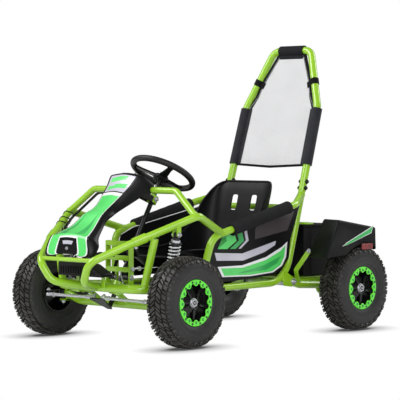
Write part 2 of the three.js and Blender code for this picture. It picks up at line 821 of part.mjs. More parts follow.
function seatRow([depth, rise, half, wing, turn]) {
  const base = rail_height + seat_wall + weld_gap;
  const y = rear_axle_y - seat_back_ahead - seat_depth * (1 - depth);
  const z = base + seat_rise * rise;
  const up = vec(0, -Math.sin(turn), Math.cos(turn));
  return seat_section_shares.map(([across, stand]) =>
    vec(across * half * seat_half, y, z).addScaledVector(up, stand * wing * seat_rise),
  );
}

function addSeat() {
  const rows = seat_station_shares.map(seatRow);
  const inner = rows;
  const outer = underside(rows, seat_wall);
  const bucket = shell(inner, outer);
  const slot_z = rail_height + slot_height_above_pan;
  const slot_y = rear_axle_y - seat_back_ahead;
  const slots = [slot_half, -slot_half].map((x) => {
    const low = vec(x - slot_width / 2, slot_y - seat_depth / 4, slot_z - slot_height / 2);
    const high = vec(x + slot_width / 2, slot_y + seat_depth / 4, slot_z + slot_height / 2);
    return block(low, high);
  });
  place("seat", cut(bucket, ...slots), black_plastic);
}

function addFloor() {
  const half = rail_half - main_tube_radius - weld_gap;
  const low = vec(-half, front_axle_y + pan_front_back, rail_height - pan_thickness);
  const high = vec(half, rear_axle_y - pan_rear_ahead, rail_height);
  const sheet = block(low, high);
  const rib_count = 5;
  const rib_half = pan_thickness * 3;
  const ribs = [];
  for (let i = 0; i < rib_count; i += 1) {
    const y = THREE.MathUtils.lerp(low.y, high.y, (i + 0.7) / rib_count);
    const rib_low = vec(low.x * 0.8, y - rib_half, low.z - pan_thickness);
    ribs.push(block(rib_low, vec(high.x * 0.8, y + rib_half, low.z + pan_thickness / 2)));
  }
  const rail_cutter = cope(rail_path, rail_bends, main_tube_radius);
  place("floor_pan", cut(join(sheet, ...ribs), rail_cutter, mirrored(rail_cutter)), black_steel);
}

// Side panel: a flat sheet outside the tubes, bounded by hoop, armrest, upright and lower rail.
// Its outline is in shares of its length and height.
const panel_outline_shares = [
  [0.0, 0.347],
  [0.17, 0.0],
  [0.47, 0.015],
  [0.7, 0.037],
  [0.8, 0.103],
  [0.877, 0.262],
  [0.897, 0.531],
  [1.0, 1.0],
  [0.84, 0.98],
  [0.155, 0.7],
  [0.04, 0.6],
];

function addSidePanels() {
  const origin = vec(panel_front_half, front_axle_y + panel_front_back, panel_foot);
  const rear = vec(panel_rear_half, origin.y + panel_length, panel_foot);
  const right = rear.clone().sub(origin).normalize();
  const outline = panel_outline_shares.map(([along_share, up_share]) => [
    along_share * origin.distanceTo(rear),
    up_share * panel_height,
  ]);
  const sheet = plate(origin, right, vec(0, 0, 1), outline, panel_wall);
  const cutters = [
    cope(hoop_path, hoop_bends, main_tube_radius),
    cope(rail_path, rail_bends, main_tube_radius),
    cope(padRun(), 0, armrest_pad_radius),
  ];
  const left = cut(sheet, ...cutters);
  place("side_panel_left", left, black_plastic);
  place("side_panel_right", mirrored(left), black_plastic);
}

function padRun() {
  const start = along(hoop_corner, armrest_rear, armrest_pad_start);
  return [start, along(start, armrest_rear, armrest_pad_length)];
}

function addArmrestPads() {
  const [start, end] = padRun();
  const left = pipe(start, end, main_tube_radius + weld_gap, armrest_pad_radius);
  place("armrest_pad_left", left, foam);
  place("armrest_pad_right", mirrored(left), foam);
}

// Roll bar and net, drawn flat in their own leaning plane: x across, z up the lean
const roll_shoulder_half = 188;
const roll_shoulder_height = 359;
const roll_top_half = 96;
const roll_top_height = 599;
const roll_shoulder_bend = 90;
const roll_top_bend = 45;
const net_foot_height = 120;
const net_shoulder_height = 346;
const net_waist_half = 137;
const net_waist_height = 407;
const net_strap_half = 122;
const net_strap_height = 458;
const net_head_half = 58;
const top_sleeve_half = 60;

function addRollBar() {
  const plane = new THREE.Group();
  plane.position.copy(socket).setX(0);
  plane.rotation.x = -roll_lean;
  kart.add(plane);
  const leg_foot = vec(socket_half, 0, main_tube_radius + weld_gap);
  const shoulder = vec(roll_shoulder_half, 0, roll_shoulder_height);
  const top = vec(roll_top_half, 0, roll_top_height);
  const path = [flip(leg_foot), flip(shoulder), flip(top), top, shoulder, leg_foot];
  const bends = [roll_shoulder_bend, roll_top_bend, roll_top_bend, roll_shoulder_bend];
  const bar = tube(path, bends, roll_tube_radius);
  const bore_foot = vec(socket_half, 0, 0);
  const bore_top = vec(socket_half, 0, main_tube_radius + spigot_length + running_gap);
  const bore = rod(bore_foot, bore_top, (spigot_radius + weld_gap) / Math.cos(Math.PI / small_sides), small_sides);
  place("roll_bar", cut(bar, bore, mirrored(bore)), green_paint, plane);
  place("roll_bar_net", rollBarNet(path, bends, leg_foot, shoulder), mesh_cloth, plane);
}

function rollBarNet(path, bends, leg_foot, shoulder) {
  const cloth_radius = roll_tube_radius + weld_gap + sleeve_cloth;
  const bar_cutter = cope(path, bends, roll_tube_radius);
  const sleeve_foot = pointAtHeight(leg_foot, shoulder, net_foot_height);
  const sleeve_head = pointAtHeight(leg_foot, shoulder, net_shoulder_height);
  const side_sleeve = rod(sleeve_foot, sleeve_head, cloth_radius);
  const top_sleeve = rod(vec(-top_sleeve_half, 0, roll_top_height), vec(top_sleeve_half, 0, roll_top_height), cloth_radius);
  const upper = vec(roll_top_half, 0, roll_top_height);
  const strap_low = pointAtHeight(shoulder, upper, net_strap_height);
  const strap_high = along(strap_low, upper, strap_length);
  const strap = rod(strap_low, strap_high, cloth_radius);
  const strap_y = net_thickness / 2;
  const strap_tail = block(
    vec(net_strap_half - net_binding, -strap_y, strap_low.z),
    vec(strap_low.x, strap_y, strap_high.z),
  );
  const inner = socket_half - roll_tube_radius;
  const outline = [
    [inner, net_foot_height],
    [inner, net_shoulder_height],
    [net_waist_half, net_waist_height],
    [net_strap_half, net_strap_height],
    [net_head_half, roll_top_height],
  ];
  const inset = (points, amount) =>
    points.map(([x, z], i) => [x - amount, i === 0 ? z + amount : z]);
  const mirror_outline = (points) => [...points, ...points.slice().reverse().map(([x, z]) => [-x, z])];
  const side = vec(1, 0, 0);
  const up = vec(0, 0, 1);
  const sheet = plate(vec(0, 0, 0), side, up, mirror_outline(outline), net_thickness);
  const field = inset(outline, net_binding);
  const gaps = netGaps(field);
  const sewn = join(sheet, side_sleeve, mirrored(side_sleeve), top_sleeve, strap, mirrored(strap));
  const with_tails = join(sewn, strap_tail, mirrored(strap_tail));
  return cut(with_tails, ...gaps, bar_cutter);
}

// The net's gaps: a square pattern, kept where the whole gap lies inside the bound field
function netGaps(field) {
  const halfWidthAt = (z) => {
    const above = field.findIndex(([, height]) => height >= z);
    if (above <= 0) return above === 0 ? field[0][0] : 0;
    const [x0, z0] = field[above - 1];
    const [x1, z1] = field[above];
    return x0 + ((x1 - x0) * (z - z0)) / (z1 - z0);
  };
  const gap = net_cell * net_gap_share;
  const head = roll_top_height - roll_tube_radius - sleeve_cloth - net_binding;
  const sleeve_inner = socket_half - roll_tube_radius - sleeve_cloth * 2;
  const gaps = [];
  for (let z = field[0][1]; z + gap < head; z += net_cell) {
    const half = Math.min(halfWidthAt(z), halfWidthAt(z + gap), sleeve_inner) - net_binding / 2;
    for (let x = -Math.floor(half / net_cell) * net_cell; x < half; x += net_cell) {
      if (Math.abs(x) + gap / 2 > half) continue;
      const low = vec(x - gap / 2, -net_thickness, z);
      gaps.push(block(low, vec(x + gap / 2, net_thickness, z + gap)));
    }
  }
  return gaps;
}

function addSteering() {
  const rim_centre = vec(0, 0, 0);
  const ring_radius = steering_wheel_radius - grip_radius;
  const grip = solid(new THREE.TorusGeometry(ring_radius, grip_radius, small_sides, 20));
  const hub_drop = grip_radius * 1.6;
  const hub = rod(vec(0, 0, -hub_drop * 1.5), vec(0, 0, -hub_drop / 2), grip_radius * 2.4);
  const spokes = [Math.PI / 2, Math.PI * 1.17, -Math.PI * 0.17].map((angle) => {
    const out = vec(Math.cos(angle), Math.sin(angle), 0);
    const end = out.clone().multiplyScalar(ring_radius);
    const start = rim_centre.clone().addScaledVector(vec(0, 0, 1), -hub_drop);
    const right = end.clone().sub(start).normalize();
    const up = vec(0, 0, 1).cross(out).normalize();
    const reach = start.distanceTo(end);
    const outline = [
      [0, -grip_radius * 1.5],
      [reach, -grip_radius * 0.9],
      [reach, grip_radius * 0.9],
      [0, grip_radius * 1.5],
    ];
    return plate(start, right, up, outline, plate_thickness);
  });
  const bore = rod(vec(0, 0, -hub_drop * 3), vec(0, 0, hub_drop), (column_radius + weld_gap) / Math.cos(Math.PI / tube_sides));
  const wheel = place("steering_wheel", join(grip, hub, ...spokes).subtract(bore), black_plastic);
  wheel.position.copy(wheel_centre);
  wheel.rotation.x = -column_lean;

  const shaft = rod(column_foot, wheel_centre, column_radius);
  const nut_low = downColumn(-1 * 0);
  const nut = rod(nut_low, downColumn(-plate_thickness), column_radius * 1.5, 6);
  const right = vec(1, 0, 0);
  const outline = [
    [-pitman_half / 2, -pitman_half / 2],
    [pitman_half / 2, -pitman_half / 2],
    [pitman_half + rod_end_radius, pitman_arm - rod_end_radius / 2],
    [pitman_half + rod_end_radius, pitman_arm + rod_end_radius],
    [-pitman_half - rod_end_radius, pitman_arm + rod_end_radius],
    [-pitman_half - rod_end_radius, pitman_arm - rod_end_radius / 2],
  ];
  const pitman = plate(column_foot, right, column_ahead, outline, plate_thickness);
  const pins = [pitman_half, -pitman_half].map((x) => {
    const ball = pitmanBall(x);
    return rod(ball, ball.clone().addScaledVector(column_up, rod_end_height * 1.4), shock_bolt_radius, small_sides);
  });
  place("steering_column", join(shaft, nut, pitman, ...pins), dark_steel);
}

// Centre of a tie rod's inner joint on the pitman plate's upper face side
function pitmanBall(x) {
  return column_foot
    .clone()
    .addScaledVector(column_ahead, pitman_arm)
    .add(vec(x, 0, 0));
}

function knuckleArmEnd() {
  return vec(steering_arm_half, front_axle_y - steering_arm_reach, axle_height);
}

function addTieRods() {
  const ball = pitmanBall(pitman_half).addScaledVector(column_up, plate_thickness / 2 + running_gap + rod_end_height / 2);
  const outer = knuckleArmEnd();
  const half_height = column_up.clone().multiplyScalar(rod_end_height / 2);
  const inner_eye = rod(ball.clone().sub(half_height), ball.clone().add(half_height), rod_end_radius);
  const outer_half = vec(0, 0, rod_end_height / 2);
  const outer_eye = rod(outer.clone().sub(outer_half), outer.clone().add(outer_half), rod_end_radius);
  const shaft = rod(ball, outer, tie_rod_radius, small_sides);
  const nut_inner = rod(along(ball, outer, rod_end_radius * 1.6), along(ball, outer, rod_end_radius * 2.6), tie_rod_radius * 1.4, 6);
  const bore_half = column_up.clone().multiplyScalar(rod_end_height * 2);
  const bore_radius = (shock_bolt_radius + running_gap) / Math.cos(Math.PI / small_sides);
  const bore = rod(ball.clone().sub(bore_half), ball.clone().add(bore_half), bore_radius, small_sides);
  const left = join(inner_eye, outer_eye, shaft, nut_inner).subtract(bore);
  place("tie_rod_left", left, bright_steel);
  place("tie_rod_right", mirrored(left), bright_steel);
}

function addFrontAxle() {
  const beam_end = vec(kingpin_half - beam_end_inset, front_axle_y, axle_height);
  const beam_flat = vec(beam_flat_half, front_axle_y, axle_height - beam_drop);
  const path = [flip(beam_end), flip(beam_flat), beam_flat, beam_end];
  const beam = tube(path, beam_bend, beam_radius);
  const pivot_y = front_axle_y - front_pivot_reach;
  const pivot = vec(trailing_arm_half, pivot_y, front_pivot_height);
  const arm_root = vec(trailing_arm_half, front_axle_y, axle_height - beam_drop);
  const arm = rod(pivot, arm_root, trailing_arm_radius, small_sides);
  const half_tube = vec(pivot_tube_length / 2, 0, 0);
  const pivot_tube = rod(pivot.clone().sub(half_tube), pivot.clone().add(half_tube), pivot_tube_radius);
  const bore_radius = (pivot_bolt_radius + running_gap) / Math.cos(Math.PI / tube_sides);
  const bore = rod(pivot.clone().addScaledVector(half_tube, -1.3), pivot.clone().addScaledVector(half_tube, 1.3), bore_radius);
  const kingpin = vec(kingpin_half, front_axle_y, axle_height);
  const yoke_reach = knuckle_height / 2 + running_gap;
  const yoke_low = vec(kingpin_half - beam_end_inset - knuckle_radius, front_axle_y - knuckle_radius, 0);
  const yoke_high = vec(kingpin_half + kingpin_radius, front_axle_y + knuckle_radius, 0);
  const cheeks = [yoke_reach, -yoke_reach - yoke_plate].map((z) =>
    block(yoke_low.clone().setZ(axle_height + z), yoke_high.clone().setZ(axle_height + z + yoke_plate)),
  );
  const back = block(
    yoke_low.clone().setZ(axle_height - yoke_reach - yoke_plate),
    vec(yoke_low.x + yoke_plate, yoke_high.y, axle_height + yoke_reach + yoke_plate),
  );
  const pin_reach = vec(0, 0, yoke_reach + yoke_plate * 1.4);
  const pin = rod(kingpin.clone().sub(pin_reach), kingpin.clone().add(pin_reach), kingpin_radius, small_sides);
  const foot_carrier = vec(front_shock_foot.x, front_axle_y, axle_height - beam_drop / 2);
  const ears = shockEars(front_shock_foot, foot_carrier, vec(1, 0, 0), swing_side_room);
  const room = knuckle_radius + running_gap;
  const beam_trim = block(
    vec(yoke_low.x + yoke_plate, front_axle_y - room * 2, axle_height - yoke_reach),
    vec(kingpin_half + room * 3, front_axle_y + room * 2, axle_height + yoke_reach),
  );
  const trimmed_beam = cut(beam, beam_trim, mirrored(beam_trim));
  const half = join(arm, pivot_tube, ...cheeks, back, pin, ears);
  const whole = join(trimmed_beam, half, mirrored(half));
  place("front_axle", whole.subtract(bore).subtract(mirrored(bore)), green_paint);
}

function addKnuckles() {
  const kingpin = vec(kingpin_half, front_axle_y, axle_height);
  const half_height = vec(0, 0, knuckle_height / 2);
  const barrel = rod(kingpin.clone().sub(half_height), kingpin.clone().add(half_height), knuckle_radius);
  const bore_radius = (kingpin_radius + running_gap) / Math.cos(Math.PI / tube_sides);
  const bore = rod(kingpin.clone().addScaledVector(half_height, -1.5), kingpin.clone().addScaledVector(half_height, 1.5), bore_radius);
  const spindle_end = vec(front_track / 2 + rim_width * 0.42, front_axle_y, axle_height);
  const spindle = rod(kingpin, spindle_end, spindle_radius);
  const flange_end = vec(front_track / 2 - rim_width * 0.12, front_axle_y, axle_height);
  const flange_start = vec(kingpin_half + knuckle_radius, front_axle_y, axle_height);
  const flange = rod(flange_start, flange_end, spindle_radius * 1.7);
  const nut_start = vec(front_track / 2 + rim_width * 0.37, front_axle_y, axle_height);
  const nut = rod(nut_start, spindle_end.clone().add(vec(plate_thickness, 0, 0)), spindle_radius * 1.5, 6);
  const arm_rise = rod_end_height / 2 + open_joint_clearance + plate_thickness / 2;
  const arm_end = knuckleArmEnd().add(vec(0, 0, arm_rise));
  const arm_root = kingpin.clone().setZ(arm_end.z);
  const right = arm_end.clone().sub(arm_root).normalize();
  const reach = arm_end.distanceTo(arm_root);
  const up = vec(0, 0, 1).cross(right).normalize();
  const outline = [
    [0, -knuckle_radius * arm_root_share],
    [reach, -rod_end_radius * 0.8],
    [reach + rod_end_radius * 0.8, 0],
    [reach, rod_end_radius * 0.8],
    [0, knuckle_radius * arm_root_share],
  ];
  const arm = plate(arm_root, right, up, outline, plate_thickness);
  const left = join(barrel, spindle, flange, nut, arm).subtract(bore);
  place("knuckle_left", left, dark_steel);
  place("knuckle_right", mirrored(left), dark_steel);
}

// Knobbly tyre: shoulder and tread points step in and out round the circle, one side half a knob
// behind the other
const tyre_section_shares = [
  [-0.72, 0],
  [-1.0, 0.38],
  [-0.99, 0.7],
  [-0.84, 1],
  [0.84, 1],
  [0.99, 0.7],
  [1.0, 0.38],
  [0.72, 0],
];
const tyre_knobs = 22;
const knob_depth = 8;

function knobbyTyre() {
  const segments = tyre_knobs * 2;
  const rows = tyre_section_shares.length;
  const bead = rim_radius + weld_gap;
  const positions = [];
  const index = [];
  for (let s = 0; s < segments; s += 1) {
    const angle = (2 * Math.PI * s) / segments - Math.PI / 2;
    tyre_section_shares.forEach(([across, out], row) => {
      const left_side = across < 0;
      const in_groove = (s + (left_side ? 0 : 1)) % 2 === 1;
      const tread = out > 0.9;
      const shoulder = row === 2 || row === rows - 3;
      const sink = in_groove && tread ? knob_depth : 0;
      const pinch = in_groove && shoulder ? knob_depth / 2 : 0;
      const radius = bead + out * (tyre_radius - bead) - sink;
      const z = (across * tyre_width) / 2 - Math.sign(across) * pinch;
      positions.push(radius * Math.cos(angle), radius * Math.sin(angle), z);
    });
  }
  for (let s = 0; s < segments; s += 1) {
    for (let r = 0; r < rows; r += 1) {
      const here = s * rows;
      const there = ((s + 1) % segments) * rows;
      const next = (r + 1) % rows;
      index.push(here + r, there + r, there + next, here + r, there + next, here + next);
    }
  }
  const geometry = new THREE.BufferGeometry();
  geometry.setAttribute("position", new THREE.Float32BufferAttribute(positions, 3));
  geometry.setIndex(index);
  return solid(geometry);
}

const rim_flange = 7;
const rim_wall = 5;
const hub_radius = 25;
const rim_segments = 15;
const rim_windows = 5;
const ring_thickness = 4.5;
const ring_lobes = 12;
const ring_width = 18;
const lobe_height = 4;

function wheelRim(bore_radius) {
  const edge = rim_width / 2;
  const inner = rim_radius - rim_wall;
  const profile = [
    [bore_radius, edge * 0.1],
    [inner, edge * 0.36],
    [inner, -edge],
    [rim_radius, -edge],
    [rim_radius, edge],
    [inner, edge],
    [inner, edge * 0.5],
    [bore_radius, edge * 0.72],
  ];
  const window_radius = (inner - hub_radius) * 0.32;
  const windows = [];
  for (let i = 0; i < rim_windows; i += 1) {
    const angle = (2 * Math.PI * i) / rim_windows + Math.PI / 2;
    const reach = (inner + hub_radius) / 2;
    const centre = vec(reach * Math.cos(angle), reach * Math.sin(angle), 0);
    windows.push(rod(centre, centre.clone().setZ(edge), window_radius, 6));
  }
  return cut(revolve(profile, rim_segments), ...windows);
}

function beadLockRing() {
  const outer = rim_radius + rim_flange;
  const points = ring_lobes * 3;
  const outline = circle(outer, ring_lobes * 2);
  const hole = new THREE.Path();
  for (let i = 0; i < points; i += 1) {
    const angle = (2 * Math.PI * i) / points;
    const radius = outer - ring_width - lobe_height * Math.cos(ring_lobes * angle);
    const x = radius * Math.cos(angle);
    const y = radius * Math.sin(angle);
    if (i === 0) hole.moveTo(x, y);
    else hole.lineTo(x, y);
  }
  outline.holes.push(hole);
  const geometry = new THREE.ExtrudeGeometry(outline, { depth: ring_thickness, bevelEnabled: false });
  geometry.translate(0, 0, rim_width / 2 + weld_gap);
  return solid(geometry);
}

function addWheels() {
  const tyre = knobbyTyre();
  const ring = beadLockRing();
  const ends = [
    { end: "front", y: front_axle_y, half: front_track / 2, bore: spindle_radius },
    { end: "rear", y: rear_axle_y, half: rear_track / 2, bore: axle_radius },
  ];
  for (const { end, y, half, bore } of ends) {
    const rim = wheelRim((bore + running_gap) / Math.cos(Math.PI / rim_segments));
    for (const side of ["left", "right"]) {
      const hub = new THREE.Group();
      const outward = side === "left" ? 1 : -1;
      hub.position.set(outward * half, y, axle_height);
      hub.rotation.y = (outward * Math.PI) / 2;
      kart.add(hub);
      place(`${end}_tyre_${side}`, tyre, tyre_rubber, hub);
      place(`${end}_rim_${side}`, rim, black_steel, hub);
      place(`${end}_bead_ring_${side}`, ring, ring_paint, hub);
    }
  }
}

// A coil spring: one unbroken tube that winds round the line from a to b and prints its least gap
function coilSpring(a, b, wire_gap) {
  const steps_per_curl = 7;
  const sides = 4;
  const length = a.distanceTo(b);
  const start = spring_wire_radius + wire_gap;
  const climb = length - 2 * start;
  const steps = spring_curls * steps_per_curl;
  const centre_line = [];
  for (let i = 0; i <= steps; i += 1) {
    const angle = (2 * Math.PI * i) / steps_per_curl;
    const z = start + (climb * i) / steps;
    centre_line.push(vec(spring_radius * Math.cos(angle), spring_radius * Math.sin(angle), z));
  }
  const positions = [];
  const index = [];
  const up = vec(0, 0, 1);
  centre_line.forEach((point) => {
    const out = vec(point.x, point.y, 0).normalize();
    for (let k = 0; k < sides; k += 1) {
      const angle = (2 * Math.PI * k) / sides;
      const p = point
        .clone()
        .addScaledVector(out, spring_wire_radius * Math.cos(angle))
        .addScaledVector(up, spring_wire_radius * Math.sin(angle));
      positions.push(p.x, p.y, p.z);
    }
  });
  for (let i = 0; i < steps; i += 1) {
    for (let k = 0; k < sides; k += 1) {
      const next = (k + 1) % sides;
      const here = i * sides;
      const there = here + sides;
      index.push(here + k, there + k, there + next, here + k, there + next, here + next);
    }
  }
  for (let k = 1; k < sides - 1; k += 1) {
    const last = steps * sides;
    index.push(0, k, k + 1, last, last + k + 1, last + k);
  }
  let least = Infinity;
  for (let i = 0; i < centre_line.length; i += 1) {
    for (let j = i + Math.ceil(steps_per_curl / 2); j < centre_line.length; j += 1) {
      least = Math.min(least, centre_line[i].distanceTo(centre_line[j]));
    }
  }
  const geometry = new THREE.BufferGeometry();
  geometry.setAttribute("position", new THREE.Float32BufferAttribute(positions, 3));
  geometry.setIndex(index);
  const turn = new THREE.Quaternion().setFromUnitVectors(up, b.clone().sub(a).normalize());
  geometry.applyQuaternion(turn);
  geometry.translate(a.x, a.y, a.z);
  return { made: solid(geometry), gap: least - 2 * spring_wire_radius };
}

// A coil-over shock between an upper and a lower eye: the body hangs from the top, the rod slides
// in it, and the spring stands between their seats
function shockPieces(top, foot) {
  const axis = vec(1, 0, 0);
  const eye_bore = (shock_bolt_radius + running_gap) / Math.cos(Math.PI / small_sides);
  const length = top.distanceTo(foot);
  const seat_top = along(top, foot, length * 0.14);
  const seat_top_low = along(top, foot, length * 0.14 + spring_seat_thickness);
  const body_end = along(top, foot, length * 0.6);
  const eyeAt = (centre, bore, half_width) => {
    const at = (reach) => centre.clone().addScaledVector(axis, reach);
    const outer_radius = Math.max(shock_eye_radius, bore + 3.5 * running_gap);
    const outer = rod(at(-half_width), at(half_width), outer_radius, small_sides);
    const inner = rod(at(-half_width - overrun), at(half_width + overrun), bore, small_sides);
    return { outer, inner };
  };
  const upper_eye = eyeAt(top, eye_bore, shock_eye_width / 2);
  const neck = rod(top, body_end, shock_rod_radius * 1.2, small_sides);
  const barrel = rod(along(top, foot, shock_eye_radius * 1.4), body_end, shock_body_radius, small_sides);
  const top_seat = rod(seat_top, seat_top_low, spring_seat_radius);
  const chamber = rod(
    along(top, foot, length * 0.2),
    along(body_end, top, -overrun),
    (shock_rod_radius + weld_gap) / Math.cos(Math.PI / small_sides),
    small_sides,
  );
  const body = join(upper_eye.outer, neck, barrel, top_seat).subtract(upper_eye.inner).subtract(chamber);

  const open_bore = (shock_bolt_radius + open_eye_clearance) / Math.cos(Math.PI / small_sides);
  const lower_eye = eyeAt(foot, open_bore, shock_eye_width / 2 - open_eye_clearance);
  const seat_foot = along(foot, top, length * 0.14);
  const seat_foot_high = along(foot, top, length * 0.14 + spring_seat_thickness);
  const shaft_start = along(foot, top, open_bore * 0.8);
  const shaft_end = along(foot, top, length * 0.62);
  const shaft = rod(shaft_start, shaft_end, shock_rod_radius, small_sides);
  const low_seat = rod(seat_foot, seat_foot_high, spring_seat_radius);
  const rod_piece = join(lower_eye.outer, shaft, low_seat).subtract(lower_eye.inner);
  const coil = coilSpring(seat_foot_high, seat_top_low, weld_gap);
  return { body, rod_piece, coil };
}

function addShocks() {
  const front = shockPieces(front_shock_top, front_shock_foot);
  const rear = shockPieces(rear_shock_top, rear_shock_foot);
  const sets = [
    ["front_shock_left", front, (made) => made],
    ["front_shock_right", front, mirrored],
    ["rear_shock", rear, (made) => made],
  ];
  for (const [name, pieces, turn] of sets) {
    place(`${name}_body`, turn(pieces.body), dark_steel);
    place(`${name}_rod`, turn(pieces.rod_piece), bright_steel);
    place(`${name}_spring`, turn(pieces.coil.made), spring_steel);
  }
  const gap = Math.min(front.coil.gap, rear.coil.gap);
  console.log(`least gap between spring curls: ${gap.toFixed(2)} mm`);
}

function addSwingArm() {
  const pivot = vec(arm_half, rear_axle_y - arm_pivot_ahead, rail_height);
  const tail = vec(arm_half, rear_axle_y + arm_tail, axle_height);
  const hanger_y = rear_axle_y - arm_pivot_ahead;
  const bend = vec(arm_half, hanger_y + arm_tube_radius * 4, rail_height - arm_tube_radius);
  const path = [pivot, bend, tail, flip(tail), flip(bend), flip(pivot)];
  const frame = tube(path, [60, 30, 30, 60].map((share) => (share / 60) * arm_tube_radius * 2.4), arm_tube_radius);
  const half_hub = vec(arm_tube_radius, 0, 0);
  const pivot_hub = rod(pivot.clone().sub(half_hub), pivot.clone().add(half_hub), arm_tube_radius * 1.1);
  const bore_radius = (pivot_bolt_radius + running_gap) / Math.cos(Math.PI / tube_sides);
  const pivot_bore = rod(
    pivot.clone().addScaledVector(half_hub, -2.5),
    pivot.clone().addScaledVector(half_hub, 2.5),
    bore_radius,
  );
  const axle = vec(arm_half, rear_axle_y, axle_height);
  const half_plate = vec(bearing_plate_thickness / 2, 0, 0);
  const bearing = rod(axle.clone().sub(half_plate), axle.clone().add(half_plate), bearing_plate_radius);
  const axle_bore = rod(
    axle.clone().addScaledVector(half_plate, -6),
    axle.clone().addScaledVector(half_plate, 6),
    (axle_radius + running_gap) / Math.cos(Math.PI / tube_sides),
  );
  const deck_low = vec(-arm_half, rear_axle_y - motor_ahead - motor_radius, deck_top - plate_thickness);
  const deck_high = vec(arm_half, rear_axle_y - box_front_ahead + box_length / 2, deck_top);
  const deck = block(deck_low, deck_high);
  const leg_low = vec(arm_half - plate_thickness, deck_low.y, axle_height);
  const leg_high = vec(arm_half, deck_high.y, deck_high.z);
  const leg = block(leg_low, leg_high);
  const ears = shockEars(rear_shock_foot, vec(0, rear_shock_foot.y, deck_top - plate_thickness / 2), vec(1, 0, 0));
  const strut = fenderStrut();
  const half = join(pivot_hub, bearing, leg, strut);
  const whole = join(frame, deck, ears, half, mirrored(half));
  const made = whole
    .subtract(pivot_bore)
    .subtract(mirrored(pivot_bore))
    .subtract(axle_bore)
    .subtract(mirrored(axle_bore));
  place("swing_arm", made, green_paint);
}

// Flat bar from the arm's tube up to the bolt on the fender's front wall
function fenderStrut() {
  const foot = vec(arm_half + arm_tube_radius, rear_axle_y - arm_pivot_ahead + arm_tube_radius * 2.4, rail_height);
  const knee = foot.clone().add(vec(arm_tube_radius * 1.4, -arm_tube_radius * 2.6, arm_tube_radius * 3));
  const head = fenderBolt();
  const bar_half = arm_tube_radius * 0.6;
  const half_thick = plate_thickness / 2;
  const flat = (a, b) => {
    const geometry = new THREE.BoxGeometry(bar_half * 2, plate_thickness, a.distanceTo(b) + half_thick);
    const up = b.clone().sub(a).normalize();
    const right = vec(1, 0, 0).addScaledVector(up, -up.x).normalize();
    const basis = new THREE.Matrix4().makeBasis(right, up.clone().cross(right), up);
    geometry.applyMatrix4(basis.setPosition(between(a, b, 0.5)));
    return solid(geometry);
  };
  return join(flat(foot, knee), flat(knee, head));
}

function fenderBolt() {
  const { front_inner_low, front_inner_top, front_outer_low } = fenderCorners(0);
  const up = front_inner_top.clone().sub(front_inner_low).normalize();
  const out = front_outer_low.clone().sub(front_inner_low).normalize();
  const on_wall = between(front_inner_low, front_inner_top, fender_bolt_share);
  return on_wall.addScaledVector(out, arm_tube_radius * 0.8).addScaledVector(out.cross(up).normalize(), fender_bolt_stand);
}

// The fender's corners, drawn in by the wall for its inside
function fenderCorners(wall) {
  const front_y = rear_axle_y - fender_front_ahead + wall;
  const rear_y = rear_axle_y + fender_rear_back - wall;
  const outer = fender_outer_half - wall;
  const top = fender_top - wall;
  const rear_top = top - fender_fall;
  const front_low = top - fender_front_drop;
  return {
    front_inner_low: vec(fender_foot_half, front_y + fender_skew - fender_lean, front_low),
    front_inner_top: vec(fender_inner_half, front_y + fender_skew, top),
    front_outer_low: vec(outer, front_y - fender_lean, front_low),
    front_outer_top: vec(outer, front_y, top),
    rear_inner_low: vec(fender_inner_half, rear_y, rear_top - fender_rear_drop),
    rear_inner_top: vec(fender_inner_half, rear_y, rear_top),
    rear_outer_low: vec(outer, rear_y, rear_top - fender_rear_drop),
    rear_outer_top: vec(outer, rear_y, rear_top),
  };
}

function fenderSolid(wall, drop, reach) {
  const c = fenderCorners(wall);
  const lower = (p) => p.clone().add(vec(0, 0, -drop));
  const inward = (p) => p.clone().add(vec(-reach, 0, 0));
  const ring = [
    inward(c.front_inner_top), c.front_outer_top, c.rear_outer_top, inward(c.rear_inner_top),
    inward(lower(c.front_inner_low)), lower(c.front_outer_low), lower(c.rear_outer_low), inward(lower(c.rear_inner_low)),
  ];
  const positions = ring.flatMap((p) => [p.x, p.y, p.z]);
  const faces = [
    [0, 1, 2, 3], [7, 6, 5, 4], [0, 4, 5, 1], [1, 5, 6, 2], [2, 6, 7, 3], [3, 7, 4, 0],
  ];
  const index = faces.flatMap(([a, b, d, e]) => [a, b, d, a, d, e]);
  const geometry = new THREE.BufferGeometry();
  geometry.setAttribute("position", new THREE.Float32BufferAttribute(positions, 3));
  geometry.setIndex(index);
  return solid(geometry);
}

function addFenders() {
  const outer = fenderSolid(0, 0, 0);
  const inner = fenderSolid(fender_wall, fender_rear_drop, fender_wall * 2);
  const arch_centre = vec(0, rear_axle_y, axle_height);
  const arch_start = arch_centre.clone().setX(fender_inner_half / 2);
  const arch_end = arch_centre.clone().setX(fender_outer_half * 2);
  const arch = rod(arch_start, arch_end, tyre_radius + fender_wall * 2, 32);
  const left = cut(outer.subtract(inner), arch);
  place("fender_left", left, black_plastic);
  place("fender_right", mirrored(left), black_plastic);
}

